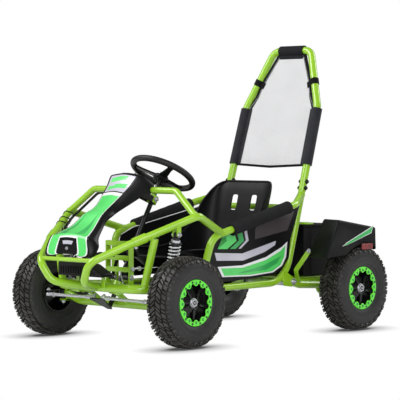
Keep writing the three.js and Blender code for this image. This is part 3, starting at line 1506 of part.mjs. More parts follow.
function addBatteryBox() {
  const front = rear_axle_y - box_front_ahead;
  const rear = front + box_length;
  const outlineFor = (grow) => [
    [-box_half - grow, rear + grow],
    [-box_half - grow, front + box_chamfer - grow],
    [-box_half + box_chamfer, front - grow],
    [box_half - box_chamfer, front - grow],
    [box_half + grow, front + box_chamfer - grow],
    [box_half + grow, rear + grow],
  ];
  const body_height = box_height - lid_height;
  const axis_x = vec(1, 0, 0);
  const axis_y = vec(0, 1, 0);
  const body_middle = box_foot + body_height / 2;
  const body = plate(vec(0, 0, body_middle), axis_x, axis_y, outlineFor(0).reverse(), body_height);
  const lid_middle = box_foot + body_height + lid_height / 2;
  const lid = plate(vec(0, 0, lid_middle), axis_x, axis_y, outlineFor(fender_wall / 2).reverse(), lid_height);
  const latch_low = vec(box_half * 0.5, front + box_length * 0.2, box_foot + box_height - fender_wall);
  const latch_high = vec(box_half * 0.9, front + box_length * 0.34, box_foot + box_height + lid_height * 0.8);
  const latch = block(latch_low, latch_high);
  place("battery_box", join(body, lid, latch), black_plastic);
}

function addDrive() {
  const motor_centre_y = rear_axle_y - motor_ahead;
  const motor_start = vec(motor_length - motor_outer_half, motor_centre_y, motor_height);
  const motor_end = vec(-motor_outer_half, motor_centre_y, motor_height);
  const can = rod(motor_start, motor_end, motor_radius, 18);
  const nose = rod(motor_end, along(motor_end, motor_start, -plate_thickness), motor_radius * 0.45);
  const foot_low = vec(motor_end.x + motor_radius / 2, motor_centre_y - motor_radius * 0.8, deck_top + weld_gap);
  const foot_high = vec(motor_start.x, motor_centre_y + motor_radius * 0.8, motor_height - motor_radius / 2);
  const foot = block(foot_low, foot_high);
  place("motor", join(can, nose, foot), dark_steel);

  const plane = -drive_plane;
  const tooth_height = chain_height / 2;
  const inner_axle = (chain_pitch_radius_axle - chain_height / 2) * chain_facet_share;
  const inner_motor = (chain_pitch_radius_motor - chain_height / 2) * chain_facet_share;
  const motor_axis = vec(plane, motor_centre_y, motor_height);
  const half_sprocket = vec(sprocket_thickness / 2, 0, 0);
  const pinion = rod(motor_axis.clone().sub(half_sprocket), motor_axis.clone().add(half_sprocket), inner_motor);
  const shaft_start = along(motor_end, motor_start, -plate_thickness - weld_gap);
  const shaft = rod(shaft_start, motor_axis, pivot_bolt_radius, small_sides);
  place("motor_sprocket", join(pinion, shaft), bright_steel);

  const shaft_half = rear_track / 2 + rim_width * 0.42;
  const axle_left = vec(shaft_half, rear_axle_y, axle_height);
  const axle_middle = vec(0, rear_axle_y, axle_height);
  const shaft_solid = rod(axle_left, flip(axle_left), axle_radius);
  const sprocket_centre = axle_middle.clone().setX(plane);
  const sprocket = toothedWheel(sprocket_centre, inner_axle - tooth_height, inner_axle, sprocket_teeth);
  const disc_centre = axle_middle.clone().setX(disc_plane);
  const disc = rod(disc_centre.clone().sub(half_sprocket), disc_centre.clone().add(half_sprocket), disc_radius, 24);
  const nut_reach = plate_thickness * 1.2;
  const nut = rod(vec(rear_track / 2 + rim_width * 0.38, rear_axle_y, axle_height), axle_left.clone().add(vec(nut_reach, 0, 0)), axle_radius * 1.5, 6);
  const collar_inner = vec(arm_half + arm_tube_radius + running_gap, rear_axle_y, axle_height);
  const collar = rod(collar_inner, vec(rear_track / 2 - rim_width * 0.08, rear_axle_y, axle_height), axle_radius * 1.6);
  place("rear_axle", join(shaft_solid, sprocket, disc, nut, mirrored(nut), collar, mirrored(collar)), dark_steel);

  place("drive_chain", chainLoop(plane, motor_axis), bright_steel);
}

function toothedWheel(centre, root, tip, teeth) {
  const shape = new THREE.Shape();
  for (let i = 0; i < teeth * 2; i += 1) {
    const radius = i % 2 === 0 ? tip : root;
    const angle = (Math.PI * i) / teeth;
    const x = radius * Math.cos(angle);
    const y = radius * Math.sin(angle);
    if (i === 0) shape.moveTo(x, y);
    else shape.lineTo(x, y);
  }
  const geometry = new THREE.ExtrudeGeometry(shape, { depth: sprocket_thickness, bevelEnabled: false });
  geometry.translate(0, 0, -sprocket_thickness / 2);
  geometry.rotateY(Math.PI / 2);
  geometry.translate(centre.x, centre.y, centre.z);
  return solid(geometry);
}

// The chain as one closed band round both sprockets
function chainLoop(plane, motor_axis) {
  const rise = Math.atan2(axle_height - motor_axis.z, motor_ahead);
  const span = Math.hypot(axle_height - motor_axis.z, motor_ahead);
  const lean = Math.asin((chain_pitch_radius_axle - chain_pitch_radius_motor) / span);
  const outlineAt = (grow) => {
    const big = chain_pitch_radius_axle + grow;
    const small = chain_pitch_radius_motor + grow;
    const points = [];
    const steps = 16;
    for (let i = 0; i <= steps; i += 1) {
      const angle = rise - Math.PI / 2 - lean + ((Math.PI + 2 * lean) * i) / steps;
      points.push(new THREE.Vector2(rear_axle_y + big * Math.cos(angle), axle_height + big * Math.sin(angle)));
    }
    for (let i = 0; i <= steps / 2; i += 1) {
      const angle = rise + Math.PI / 2 + lean + ((Math.PI - 2 * lean) * i) / (steps / 2);
      points.push(new THREE.Vector2(motor_axis.y + small * Math.cos(angle), motor_axis.z + small * Math.sin(angle)));
    }
    return points;
  };
  const shape = new THREE.Shape(outlineAt(chain_height / 2));
  shape.holes.push(new THREE.Path(outlineAt(-chain_height / 2)));
  const geometry = new THREE.ExtrudeGeometry(shape, { depth: chain_width, bevelEnabled: false });
  geometry.applyMatrix4(new THREE.Matrix4().makeBasis(vec(0, 1, 0), vec(0, 0, 1), vec(1, 0, 0)));
  geometry.translate(plane - chain_width / 2, 0, 0);
  return solid(geometry);
}

// Ladder-shaped bracket that stands on a cross tube, holds the pedals and guides the column's foot
function addPedals() {
  const bracket_y = front_axle_y + pedal_bracket_back;
  const bar_low_z = loop_height - main_tube_radius;
  const bar_x = pedal_bracket_half;
  const upright = block(
    vec(bar_x - plate_thickness / 2, bracket_y - pedal_bar_width / 2, bar_low_z),
    vec(bar_x + plate_thickness / 2, bracket_y + pedal_bar_width / 2, pedal_bracket_height),
  );
  const rung = (low_z, high_z) =>
    block(
      vec(-bar_x, bracket_y - pedal_bar_width / 2, low_z),
      vec(bar_x, bracket_y - pedal_bar_width / 2 + plate_thickness, high_z),
    );
  const rungs = [0.9, 0.6, 0.36].map((share) => {
    const z = THREE.MathUtils.lerp(bar_low_z, pedal_bracket_height, share);
    return rung(z, z + pedal_bar_width * 0.75);
  });
  const cross_y = bracket_y + pedal_bar_width / 2 + dash_tube_radius * 0.8;
  const rail_point = pointAtY(loop_corner, rail_dip, cross_y);
  const cross = tube([flip(rail_point), rail_point], 0, dash_tube_radius);
  const loop_cutter = cope(loop_path, loop_corner_bend, loop_tube_radius);
  const rail_cutter = cope(rail_path, rail_bends, main_tube_radius);
  const cross_trimmed = cut(cross, loop_cutter, rail_cutter, mirrored(rail_cutter));
  const ring_distance = (wheel_centre.z - rail_point.z) / Math.cos(column_lean) - column_radius;
  const ring_centre = downColumn(ring_distance);
  const ring_half = column_up.clone().multiplyScalar(column_radius);
  const ring = rod(ring_centre.clone().sub(ring_half), ring_centre.clone().add(ring_half), column_radius * 2.4);
  const bore_radius = (column_radius + running_gap) / Math.cos(Math.PI / tube_sides);
  const bore = rod(downColumn(ring_distance + column_radius * 3), downColumn(ring_distance - column_radius * 3), bore_radius);
  const pin_start = vec(bar_x, bracket_y, pedal_pivot_height);
  const pin_end = vec(pedal_half - pedal_hub_radius * 1.6, bracket_y, pedal_pivot_height);
  const pin = rod(pin_start, pin_end, pedal_pin_radius, small_sides);
  const half = join(upright, pin);
  const made = join(half, mirrored(half), ...rungs, cross_trimmed, ring).subtract(bore);
  place("pedal_bracket", made, green_paint);

  const pedal = pedalSolid(vec(pedal_half, bracket_y, pedal_pivot_height));
  place("brake_pedal", pedal, black_steel);
  place("throttle_pedal", mirrored(pedal), black_steel);
}

function pedalSolid(pivot) {
  const half_hub = vec(pedal_hub_radius * 1.2, 0, 0);
  const hub = rod(pivot.clone().sub(half_hub), pivot.clone().add(half_hub), pedal_hub_radius);
  const bore_radius = (pedal_pin_radius + running_gap) / Math.cos(Math.PI / tube_sides);
  const bore = rod(pivot.clone().addScaledVector(half_hub, -1.5), pivot.clone().addScaledVector(half_hub, 1.5), bore_radius);
  const head = pivot.clone().add(vec(0, pedal_arm_lean, pedal_arm_length));
  const arm = rod(pivot.clone().add(vec(0, 0, pedal_hub_radius * 0.8)), head, pedal_pin_radius, small_sides);
  const pad = block(
    head.clone().add(vec(-pedal_pad_width / 2, 0, -pedal_pad_height / 2)),
    head.clone().add(vec(pedal_pad_width / 2, plate_thickness, pedal_pad_height / 2)),
  );
  return join(hub, arm, pad).subtract(bore);
}

function addControllerBox() {
  const rear = loop_y - loop_tube_radius / 2;
  const low = vec(-controller_half, rear - controller_depth, controller_foot);
  const high = vec(controller_half, rear, controller_foot + controller_height);
  const leg_top = controller_foot + plate_thickness;
  const leg_low = vec(controller_leg_half - bumper_seat_half, rear - loop_tube_radius, loop_height + loop_tube_radius);
  const leg_high = vec(controller_leg_half + bumper_seat_half, loop_y + loop_tube_radius, leg_top);
  const leg = block(leg_low.add(vec(0, 0, weld_gap)), leg_high);
  const horn_cutter = cope(bumper_path, bumper_bend, main_tube_radius);
  const box = join(block(low, high), leg, mirrored(leg));
  place("controller_box", cut(box, horn_cutter, mirrored(horn_cutter)), black_plastic);
}

// Wiring tied along the right-hand dash tube and hood rail, on their inner lower side
const cable_inset = dash_tube_radius + cable_radius + weld_gap;

function addCable() {
  const under = vec(0, 1, -1.4).normalize();
  const inward = vec(-1, 1, -1.4).normalize();
  const beside = vec(-1, 0.8, -0.3).normalize();
  const shift = (point, direction, radius) => point.clone().addScaledVector(direction, radius);
  const hood_inset = main_tube_radius + sleeve_wall + cable_radius + 4 * running_gap;
  const start = shift(between(vec(0, dash_corner.y, dash_corner.z), dash_corner, 0.3), under, cable_inset);
  const corner = shift(dash_corner, inward, cable_inset * 1.2);
  const low = shift(between(dash_corner, dash_foot, 0.8), inward, hood_inset);
  const turn = shift(between(hood_front, hood_rear, 0.82), beside, hood_inset);
  const tail = shift(between(hood_front, hood_rear, 0.43), beside, hood_inset);
  const path = [start, corner, low, turn, tail].map(flip);
  const steps = new BentPath(path, dash_bend, Math.PI / 6);
  place("wiring_cable", sweep(steps, cable_radius, small_sides), black_plastic);
}

addLowerFrame();
addUpperFrame();
addRollBar();
addArmrestPads();
addFloor();
addSeat();
addFairing();
addSidePanels();
addPedals();
addControllerBox();
addCable();
addSteering();
addTieRods();
addFrontAxle();
addKnuckles();
addWheels();
addShocks();
addSwingArm();
addDrive();
addBatteryBox();
addFenders();

// Centre the kart's length on the origin
const reach = new THREE.Box3().setFromObject(kart);
const off_road_kart = new THREE.Group();
kart.position.y = -(reach.min.y + reach.max.y) / 2;
off_road_kart.add(kart);

export default off_road_kart;
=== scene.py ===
"""Looks of an off-road go kart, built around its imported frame. Metres, +Z up, the front at -Y."""

import math

import bmesh
import bpy
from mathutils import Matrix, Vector


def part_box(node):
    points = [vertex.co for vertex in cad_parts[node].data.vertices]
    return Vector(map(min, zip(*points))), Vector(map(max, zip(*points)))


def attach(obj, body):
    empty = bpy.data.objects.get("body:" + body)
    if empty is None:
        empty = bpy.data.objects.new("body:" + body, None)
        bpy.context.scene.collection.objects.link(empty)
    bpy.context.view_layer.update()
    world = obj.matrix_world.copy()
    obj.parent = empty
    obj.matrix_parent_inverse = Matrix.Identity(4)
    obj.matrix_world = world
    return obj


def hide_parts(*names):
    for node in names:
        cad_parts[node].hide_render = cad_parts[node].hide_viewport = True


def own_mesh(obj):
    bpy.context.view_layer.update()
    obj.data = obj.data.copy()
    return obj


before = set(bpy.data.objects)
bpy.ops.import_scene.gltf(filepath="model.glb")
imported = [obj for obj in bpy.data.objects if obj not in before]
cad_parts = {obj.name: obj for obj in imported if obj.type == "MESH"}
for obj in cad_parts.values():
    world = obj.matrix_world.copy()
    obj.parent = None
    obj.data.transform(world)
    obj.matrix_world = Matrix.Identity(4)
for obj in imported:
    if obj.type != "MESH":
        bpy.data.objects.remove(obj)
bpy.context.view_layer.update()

MM = 0.001
X = Vector((1, 0, 0))
Y = Vector((0, 1, 0))
Z = Vector((0, 0, 1))


def middle(node):
    low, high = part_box(node)
    return (low + high) / 2


# Places that the frame gives
front_hub = middle("front_tyre_left")
rear_hub = middle("rear_tyre_left")
mid_y = (front_hub.y + rear_hub.y) / 2
front_axle = (front_hub.y - mid_y) / MM
rear_axle = -front_axle


def at(x, y, z):
    """A place in the kart: millimetres, with y from midway between the axles."""
    return Vector((x * MM, y * MM + mid_y, z * MM))


def flip(point):
    return Vector((-point.x, point.y, point.z))


def along(a, b, distance):
    return a + (b - a).normalized() * distance


def at_y(a, b, y):
    return a.lerp(b, (y - a.y) / (b.y - a.y))


def at_z(a, b, z):
    return a.lerp(b, (z - a.z) / (b.z - a.z))


# Sizes and places that several pieces share, in millimetres
axle_height = 165
front_half_track = 356
rear_half_track = 364
axle_past_track = 35.3
kingpin_half = 290
steering_arm_half = 268
steering_arm_line = front_axle - 95
beam_height = 140
trailing_arm_half = 72
trailing_tube_half = 21
knuckle_half = 22
knuckle_radius = 12.5
lug_thick = 7
trailing_pivot_line = front_axle - 79
trailing_pivot_height = 195
swing_arm_half = 203
swing_pivot_line = rear_axle - 199
axle_tube_radius = 15
pitman_reach = 68
pitman_half = 26
running_gap = 0.35
front_shock_line = front_axle + 9
front_shock_foot_half = 260
front_shock_foot_height = 212
shock_eye_drop = 14 + 22
rear_shock_line = rear_axle - 96
rear_shock_foot_height = 226
rear_shock_top_height = 448
rear_cross_height = 475
seat_line = rear_axle - 212


# Camera of the photograph
camera_azimuth = math.radians(43.2)
camera_elevation = math.radians(1.9)
camera_distance = 7.4343
camera_lens = 173.4
camera_sensor = 36
look_right = -14.5 * MM
look_up = 59.9 * MM
look_height = 450


def add_camera():
    back = Vector((
        math.sin(camera_azimuth) * math.cos(camera_elevation),
        -math.cos(camera_azimuth) * math.cos(camera_elevation),
        math.sin(camera_elevation),
    ))
    turn = (-back).to_track_quat("-Z", "Y")
    target = at(0, 0, look_height) + turn @ X * look_right + turn @ Y * look_up
    camera = bpy.data.objects.new("camera", bpy.data.cameras.new("camera"))
    camera.data.sensor_width = camera_sensor
    camera.data.lens = camera_lens
    camera.location = target + back * camera_distance
    camera.rotation_mode = "QUATERNION"
    camera.rotation_quaternion = turn
    bpy.context.scene.collection.objects.link(camera)
    bpy.context.scene.camera = camera


# Light, floor and background
world_strength = 0.5
reflected_strength = 0.16
background_white = 1.0
floor_size = 60
shadow_reach = 0.13
floor_grey = 0.8
shadow_full = 0.25
shadow_gone = 0.93
shadow_darkest = 0.08
# Each lamp's place, width and power
lamps = {
    "key": ((-2.6, -3.2, 4.4), 3.2, 210),
    "fill": ((4.4, -3.4, 2.6), 3.6, 120),
    "back": ((1.5, 4.2, 3.6), 3.0, 90),
}


def add_lamp(name, place, size, power):
    lamp = bpy.data.lights.new(name, "AREA")
    lamp.shape = "DISK"
    lamp.size = size
    lamp.energy = power
    item = bpy.data.objects.new(name, lamp)
    item.location = place
    item.rotation_mode = "QUATERNION"
    item.rotation_quaternion = (middle("seat") - Vector(place)).to_track_quat("-Z", "Y")
    bpy.context.scene.collection.objects.link(item)


def new_node(tree, kind, **inputs):
    """A shader node with values for its inputs, whose names have _ for a space."""
    node = tree.nodes.new("ShaderNode" + kind)
    for name, value in inputs.items():
        node.inputs[name.replace("_", " ")].default_value = value
    return node


def node_tree(owner, cleared=True):
    owner.use_nodes = True
    if cleared:
        owner.node_tree.nodes.clear()
    return owner.node_tree, owner.node_tree.links.new


def add_world():
    world = bpy.data.worlds.new("studio")
    bpy.context.scene.world = world
    tree, link = node_tree(world)
    path = new_node(tree, "LightPath")
    strength = new_node(tree, "Math")
    strength.operation = "MULTIPLY_ADD"
    strength.inputs[1].default_value = reflected_strength - world_strength
    strength.inputs[2].default_value = world_strength
    light = new_node(tree, "Background", Color=(1, 1, 1, 1))
    white = new_node(tree, "Background", Color=(1, 1, 1, 1), Strength=background_white)
    mix = new_node(tree, "MixShader")
    out = new_node(tree, "OutputWorld")
    link(path.outputs["Is Glossy Ray"], strength.inputs[0])
    link(strength.outputs[0], light.inputs["Strength"])
    link(path.outputs["Is Camera Ray"], mix.inputs[0])
    link(light.outputs[0], mix.inputs[1])
    link(white.outputs[0], mix.inputs[2])
    link(mix.outputs[0], out.inputs["Surface"])


def add_floor():
    """Pale floor that the camera sees as white, but for a soft shadow where something stands on it."""
    half = floor_size / 2
    data = bpy.data.meshes.new("floor")
    corners = [(-half, -half, 0), (half, -half, 0), (half, half, 0), (-half, half, 0)]
    data.from_pydata(corners, [], [(0, 1, 2, 3)])
    floor = bpy.data.objects.new("floor", data)
    bpy.context.scene.collection.objects.link(floor)
    material = bpy.data.materials.new("pale_floor")
    tree, link = node_tree(material)
    path = new_node(tree, "LightPath")
    plain = new_node(tree, "BsdfDiffuse", Color=(floor_grey, floor_grey, floor_grey, 1))
    open_sky = new_node(tree, "AmbientOcclusion", Distance=shadow_reach)
    fade = new_node(tree, "MapRange", From_Min=shadow_full, From_Max=shadow_gone, To_Min=shadow_darkest)
    glow = new_node(tree, "Emission")
    mix = new_node(tree, "MixShader")
    out = new_node(tree, "OutputMaterial")
    link(open_sky.outputs["AO"], fade.inputs["Value"])
    link(fade.outputs[0], glow.inputs["Strength"])
    link(path.outputs["Is Camera Ray"], mix.inputs[0])
    link(plain.outputs[0], mix.inputs[1])
    link(glow.outputs[0], mix.inputs[2])
    link(mix.outputs[0], out.inputs["Surface"])
    data.materials.append(material)


# Materials
mottle_detail = 5
mottle_low = 0.3
mottle_high = 0.7
relief_detail = 4
relief_strength = 0.6
coat_roughness = 0.08


def surface(name, dark, light, grain, rough, bump=0.0, bump_grain=400, metallic=0.0, coat=0.0, sheen=0.0,
            specular=0.5):
    """A finish whose colour, roughness and relief vary with noise in the kart's own space."""
    material = bpy.data.materials.new(name)
    tree, link = node_tree(material, cleared=False)
    shader = tree.nodes["Principled BSDF"]
    place = new_node(tree, "TexCoord")
    mottle = new_node(tree, "TexNoise", Scale=grain, Detail=mottle_detail)
    ramp = new_node(tree, "ValToRGB")
    for element, position, colour in zip(ramp.color_ramp.elements, (mottle_low, mottle_high), (dark, light)):
        element.position = position
        element.color = (*colour, 1)
    spread = new_node(tree, "MapRange", To_Min=rough[0], To_Max=rough[1])
    link(place.outputs["Object"], mottle.inputs["Vector"])
    link(mottle.outputs[0], ramp.inputs[0])
    link(ramp.outputs[0], shader.inputs["Base Color"])
    link(mottle.outputs[0], spread.inputs["Value"])
    link(spread.outputs[0], shader.inputs["Roughness"])
    if bump:
        fine = new_node(tree, "TexNoise", Scale=bump_grain, Detail=relief_detail)
        relief = new_node(tree, "Bump", Strength=relief_strength, Distance=bump)
        link(place.outputs["Object"], fine.inputs["Vector"])
        link(fine.outputs[0], relief.inputs["Height"])
        link(relief.outputs[0], shader.inputs["Normal"])
    shader.inputs["Metallic"].default_value = metallic
    shader.inputs["Coat Weight"].default_value = coat
    shader.inputs["Coat Roughness"].default_value = coat_roughness
    shader.inputs["Sheen Weight"].default_value = sheen
    shader.inputs["Specular IOR Level"].default_value = specular
    return material


frame_paint = surface("frame_paint", (0.29, 0.575, 0.014), (0.34, 0.64, 0.022), 9, (0.26, 0.36),
                      0.00012, 260, coat=0.8)
ring_paint = surface("ring_paint", (0.10, 0.78, 0.03), (0.15, 0.92, 0.045), 12, (0.28, 0.4),
                     0.0001, 300, coat=0.4)
black_plastic = surface("black_plastic", (0.0035, 0.0035, 0.004), (0.0075, 0.0075, 0.0085), 7,
                        (0.28, 0.42), 0.00016, 900, specular=0.27)
seat_plastic = surface("seat_plastic", (0.0034, 0.0034, 0.0042), (0.0065, 0.0065, 0.0078), 5,
                       (0.36, 0.5), 0.00022, 800, specular=0.22)
black_steel = surface("black_steel", (0.005, 0.005, 0.0055), (0.010, 0.010, 0.011), 11, (0.26, 0.38),
                      0.0001, 500, metallic=0.3, coat=0.2)
rim_black = surface("rim_black", (0.003, 0.003, 0.0035), (0.007, 0.007, 0.0075), 14, (0.2, 0.32),
                    0.00006, 300, metallic=0.3, coat=0.3)
tyre_rubber = surface("tyre_rubber", (0.016, 0.016, 0.017), (0.031, 0.030, 0.030), 10, (0.44, 0.62),
                      0.0004, 420)
# The knobs' rubber is painted lighter and browner than the tyre's own rubber: a painted sheen on the blocks,
# with random tone from the mottle.
tread_rubber_with_painted_sheen = surface("tread_rubber_with_painted_sheen", (0.010, 0.0095, 0.009), (0.052, 0.048, 0.042), 30, (0.34, 0.62),
                       0.0008, 260)
grip_rubber = surface("grip_rubber", (0.006, 0.006, 0.0065), (0.011, 0.011, 0.0115), 16, (0.42, 0.58),
                      0.0003, 700)
foam = surface("foam", (0.006, 0.006, 0.007), (0.012, 0.012, 0.0135), 18, (0.7, 0.9), 0.0005, 650,
               specular=0.25)
sleeve_cloth = surface("sleeve_cloth", (0.015, 0.015, 0.020), (0.026, 0.026, 0.032), 26, (0.7, 0.9),
                       0.0003, 1100, sheen=0.06, specular=0.3)
top_cloth = surface("top_cloth", (0.006, 0.006, 0.009), (0.012, 0.012, 0.016), 26, (0.7, 0.9),
                    0.0003, 1100, specular=0.25)
binding_cloth = surface("binding_cloth", (0.003, 0.003, 0.0035), (0.006, 0.006, 0.007), 30, (0.7, 0.9),
                        0.0003, 1200, specular=0.2)
# The battery box's plastic is a darker copy of the black plastic: painted shade for the shadow the box sits
# in between the wheels.
shade_painted_box_plastic = surface("shade_painted_box_plastic", (0.0025, 0.0025, 0.003), (0.005, 0.005, 0.0055), 7, (0.34, 0.48),
                      0.00016, 900, specular=0.16)
fender_plastic = surface("fender_plastic", (0.003, 0.003, 0.0036), (0.006, 0.006, 0.007), 7, (0.5, 0.64),
                         0.0002, 700, specular=0.24)
net_cloth = surface("net_cloth", (0.56, 0.56, 0.58), (0.64, 0.64, 0.66), 14, (0.6, 0.8), 0.0001, 900)
cable_rubber = surface("cable_rubber", (0.005, 0.005, 0.006), (0.010, 0.010, 0.011), 30, (0.3, 0.45),
                       0.0003, 500)
bright_steel = surface("bright_steel", (0.50, 0.51, 0.54), (0.70, 0.71, 0.74), 40, (0.16, 0.3),
                       0.00004, 900, metallic=0.6)
spring_steel = surface("spring_steel", (0.78, 0.79, 0.81), (0.90, 0.91, 0.92), 30, (0.2, 0.32),
                       0.00004, 700, metallic=0.3)
motor_alloy = surface("motor_alloy", (0.03, 0.03, 0.032), (0.06, 0.06, 0.065), 25, (0.4, 0.55),
                      0.0002, 500, metallic=0.5)
mint_film = surface("mint_film", (0.075, 0.64, 0.115), (0.125, 0.79, 0.185), 6, (0.28, 0.36), 0, coat=0.5)
deep_green_film = surface("deep_green_film", (0.025, 0.36, 0.075), (0.05, 0.50, 0.12), 8, (0.28, 0.36),
                          0, coat=0.5)
silver_film = surface("silver_film", (0.53, 0.52, 0.60), (0.63, 0.62, 0.70), 9, (0.26, 0.36), 0,
                      metallic=0.1, coat=0.5)
white_film = surface("white_film", (0.80, 0.80, 0.82), (0.88, 0.88, 0.89), 9, (0.28, 0.36), 0, coat=0.5)
taupe_film = surface("taupe_film", (0.052, 0.043, 0.046), (0.068, 0.057, 0.060), 8, (0.3, 0.4), 0, coat=0.3)
red_lens = surface("red_lens", (0.13, 0.008, 0.008), (0.30, 0.016, 0.016), 60, (0.12, 0.2), 0.0004, 500,
                   coat=0.8)


# Shapes: each is (points, faces)
tube_sides = 28
small_sides = 14
bend_step = math.radians(7)
longest_setback = 0.48


def bent(corners, bends):
    """Points of straight runs joined by round bends."""
    points = [corners[0]]
    for i in range(1, len(corners) - 1):
        into = (corners[i] - corners[i - 1]).normalized()
        out = (corners[i + 1] - corners[i]).normalized()
        turn = into.angle(out)
        if turn < 1e-4:
            continue
        radius = bends[i - 1] if isinstance(bends, (list, tuple)) else bends
        shortest = min((corners[i] - corners[i - 1]).length, (corners[i + 1] - corners[i]).length)
        setback = min(radius * math.tan(turn / 2), shortest * longest_setback)
        bend = setback / math.tan(turn / 2)
        start = corners[i] - into * setback
        side = (out - into * math.cos(turn)).normalized()
        steps = max(2, round(turn / bend_step))
        for k in range(steps + 1):
            angle = turn * k / steps
            points.append(start + into * (bend * math.sin(angle)) + side * (bend * (1 - math.cos(angle))))
    points.append(corners[-1])
    return points


def circle(radius, sides):
    turns = [2 * math.pi * (k + 0.5) / sides for k in range(sides)]
    return [(radius * math.cos(turn), radius * math.sin(turn)) for turn in turns]


def ring_faces(count, sides, closed):
    """Faces between rings of points, with both ends capped unless the last ring meets the first."""
    faces = []
    for i in range(count if closed else count - 1):
        here = i * sides
        there = ((i + 1) % count) * sides
        for k in range(sides):
            following = (k + 1) % sides
            faces.append((here + k, here + following, there + following, there + k))
    if not closed:
        faces.append(tuple(reversed(range(sides))))
        faces.append(tuple(range((count - 1) * sides, count * sides)))
    return faces


def sweep(points, radius, sides=tube_sides, closed=False, section=None, first=None):
    """A tube, or any section, along a line of points. The radius may change from point to point."""
    count = len(points)
    tangents = []
    for i in range(count):
        before = points[i - 1] if i > 0 or closed else points[i]
        after = points[(i + 1) % count] if i < count - 1 or closed else points[i]
        tangents.append((after - before).normalized())
    normal = first or tangents[0].orthogonal()
    vertices = []
    for i, (point, tangent) in enumerate(zip(points, tangents)):
        normal = (normal - tangent * normal.dot(tangent)).normalized()
        other = tangent.cross(normal)
        size = radius(i) if callable(radius) else radius
        ring = section if section else circle(size, sides)
        vertices += [point + normal * a + other * b for a, b in ring]
    sides = len(section) if section else sides
    return vertices, ring_faces(count, sides, closed)


def tube(corners, bends, radius):
    return sweep(bent(corners, bends), radius)


def rod(a, b, radius, sides=small_sides, end_radius=None):
    last = radius if end_radius is None else end_radius
    return sweep([a, b], lambda i: last if i else radius, sides)


def turned(profile, origin, axis, sides, closed=False):
    """A profile of (radius, height) turned about an axis. A closed one joins its last point to its first."""
    normal = axis.orthogonal().normalized()
    other = axis.cross(normal)
    vertices = []
    for radius, height in profile:
        for a, b in circle(1, sides):
            vertices.append(origin + axis * height + (normal * a + other * b) * radius)
    return vertices, ring_faces(len(profile), sides, closed)


def pipe(a, b, bore, radius, sides=tube_sides):
    length = (b - a).length
    profile = [(bore, 0), (radius, 0), (radius, length), (bore, length)]
    return turned(profile, a, (b - a).normalized(), sides, closed=True)


def hub_pipe(centre, axis, half, bore, radius, sides=tube_sides):
    """A pipe about its middle, sized in millimetres."""
    return pipe(centre - axis * half * MM, centre + axis * half * MM, bore * MM, radius * MM, sides)


def plate(origin, right, up, outline, thickness):
    """A flat plate: an outline in the plane of two directions, thickened both ways."""
    normal = right.cross(up).normalized()
    count = len(outline)
    vertices = []
    for side in (-0.5, 0.5):
        vertices += [origin + right * a + up * b + normal * (side * thickness) for a, b in outline]
    faces = [tuple(reversed(range(count))), tuple(range(count, 2 * count))]
    for k in range(count):
        following = (k + 1) % count
        faces.append((k, following, count + following, count + k))
    return vertices, faces


def block(low, high):
    size = high - low
    outline = [(0, 0), (size.x, 0), (size.x, size.y), (0, size.y)]
    return plate(low + Z * (size.z / 2), X, Y, outline, size.z)


def torus(centre, axis, radius, thick, sides=64, small=18):
    profile = [(radius + a, b) for a, b in circle(thick, small)]
    return turned(profile, centre, axis, sides, closed=True)


def shell(rows, wall):
    """A skin of rows of points, the same moved against its normal by the wall, and the rim between."""
    count, width = len(rows), len(rows[0])
    inner = []
    for r, row in enumerate(rows):
        for c, point in enumerate(row):
            across = row[min(c + 1, width - 1)] - row[max(c - 1, 0)]
            down = rows[min(r + 1, count - 1)][c] - rows[max(r - 1, 0)][c]
            inner.append(point - across.cross(down).normalized() * wall)
    vertices = [point for row in rows for point in row] + inner
    half = count * width
    faces = []
    for r in range(count - 1):
        for c in range(width - 1):
            a = r * width + c
            faces.append((a, a + 1, a + 1 + width, a + width))
            faces.append((a + half, a + width + half, a + width + 1 + half, a + 1 + half))
    for c in range(width - 1):
        last = (count - 1) * width + c
        faces.append((c, c + half, c + 1 + half, c + 1))
        faces.append((last + 1, last + 1 + half, last + half, last))
    for r in range(count - 1):
        a = r * width
        b = a + width - 1
        faces.append((a, a + width, a + width + half, a + half))
        faces.append((b + width, b, b + half, b + width + half))
    return vertices, faces


def mirrored(shape):
    vertices, faces = shape
    return [flip(v) for v in vertices], [tuple(reversed(face)) for face in faces]


def sized(outline):
    """An outline in millimetres, as metres."""
    return [(a * MM, b * MM) for a, b in outline]


def strip_section(low, high, half):
    """Section of a flat strip: from low to high across, and half its thickness either way."""
    return sized([(high, half), (low, half), (low, -half), (high, -half)])


def smooth(rows, steps):
    """Rows of numbers joined by one smooth curve through them."""
    out = []
    for i in range(len(rows) - 1):
        near = [rows[max(i - 1, 0)], rows[i], rows[i + 1], rows[min(i + 2, len(rows) - 1)]]
        for k in range(steps):
            out.append(curve_between(near, k / steps))
    out.append(list(rows[-1]))
    return out


def curve_between(near, t):
    return [
        0.5 * (2 * b + (c - a) * t + (2 * a - 5 * b + 4 * c - d) * t * t + (3 * b - a - 3 * c + d) * t**3)
        for a, b, c, d in zip(*near)
    ]


bevel_segments = 2
bevel_limit = math.radians(50)


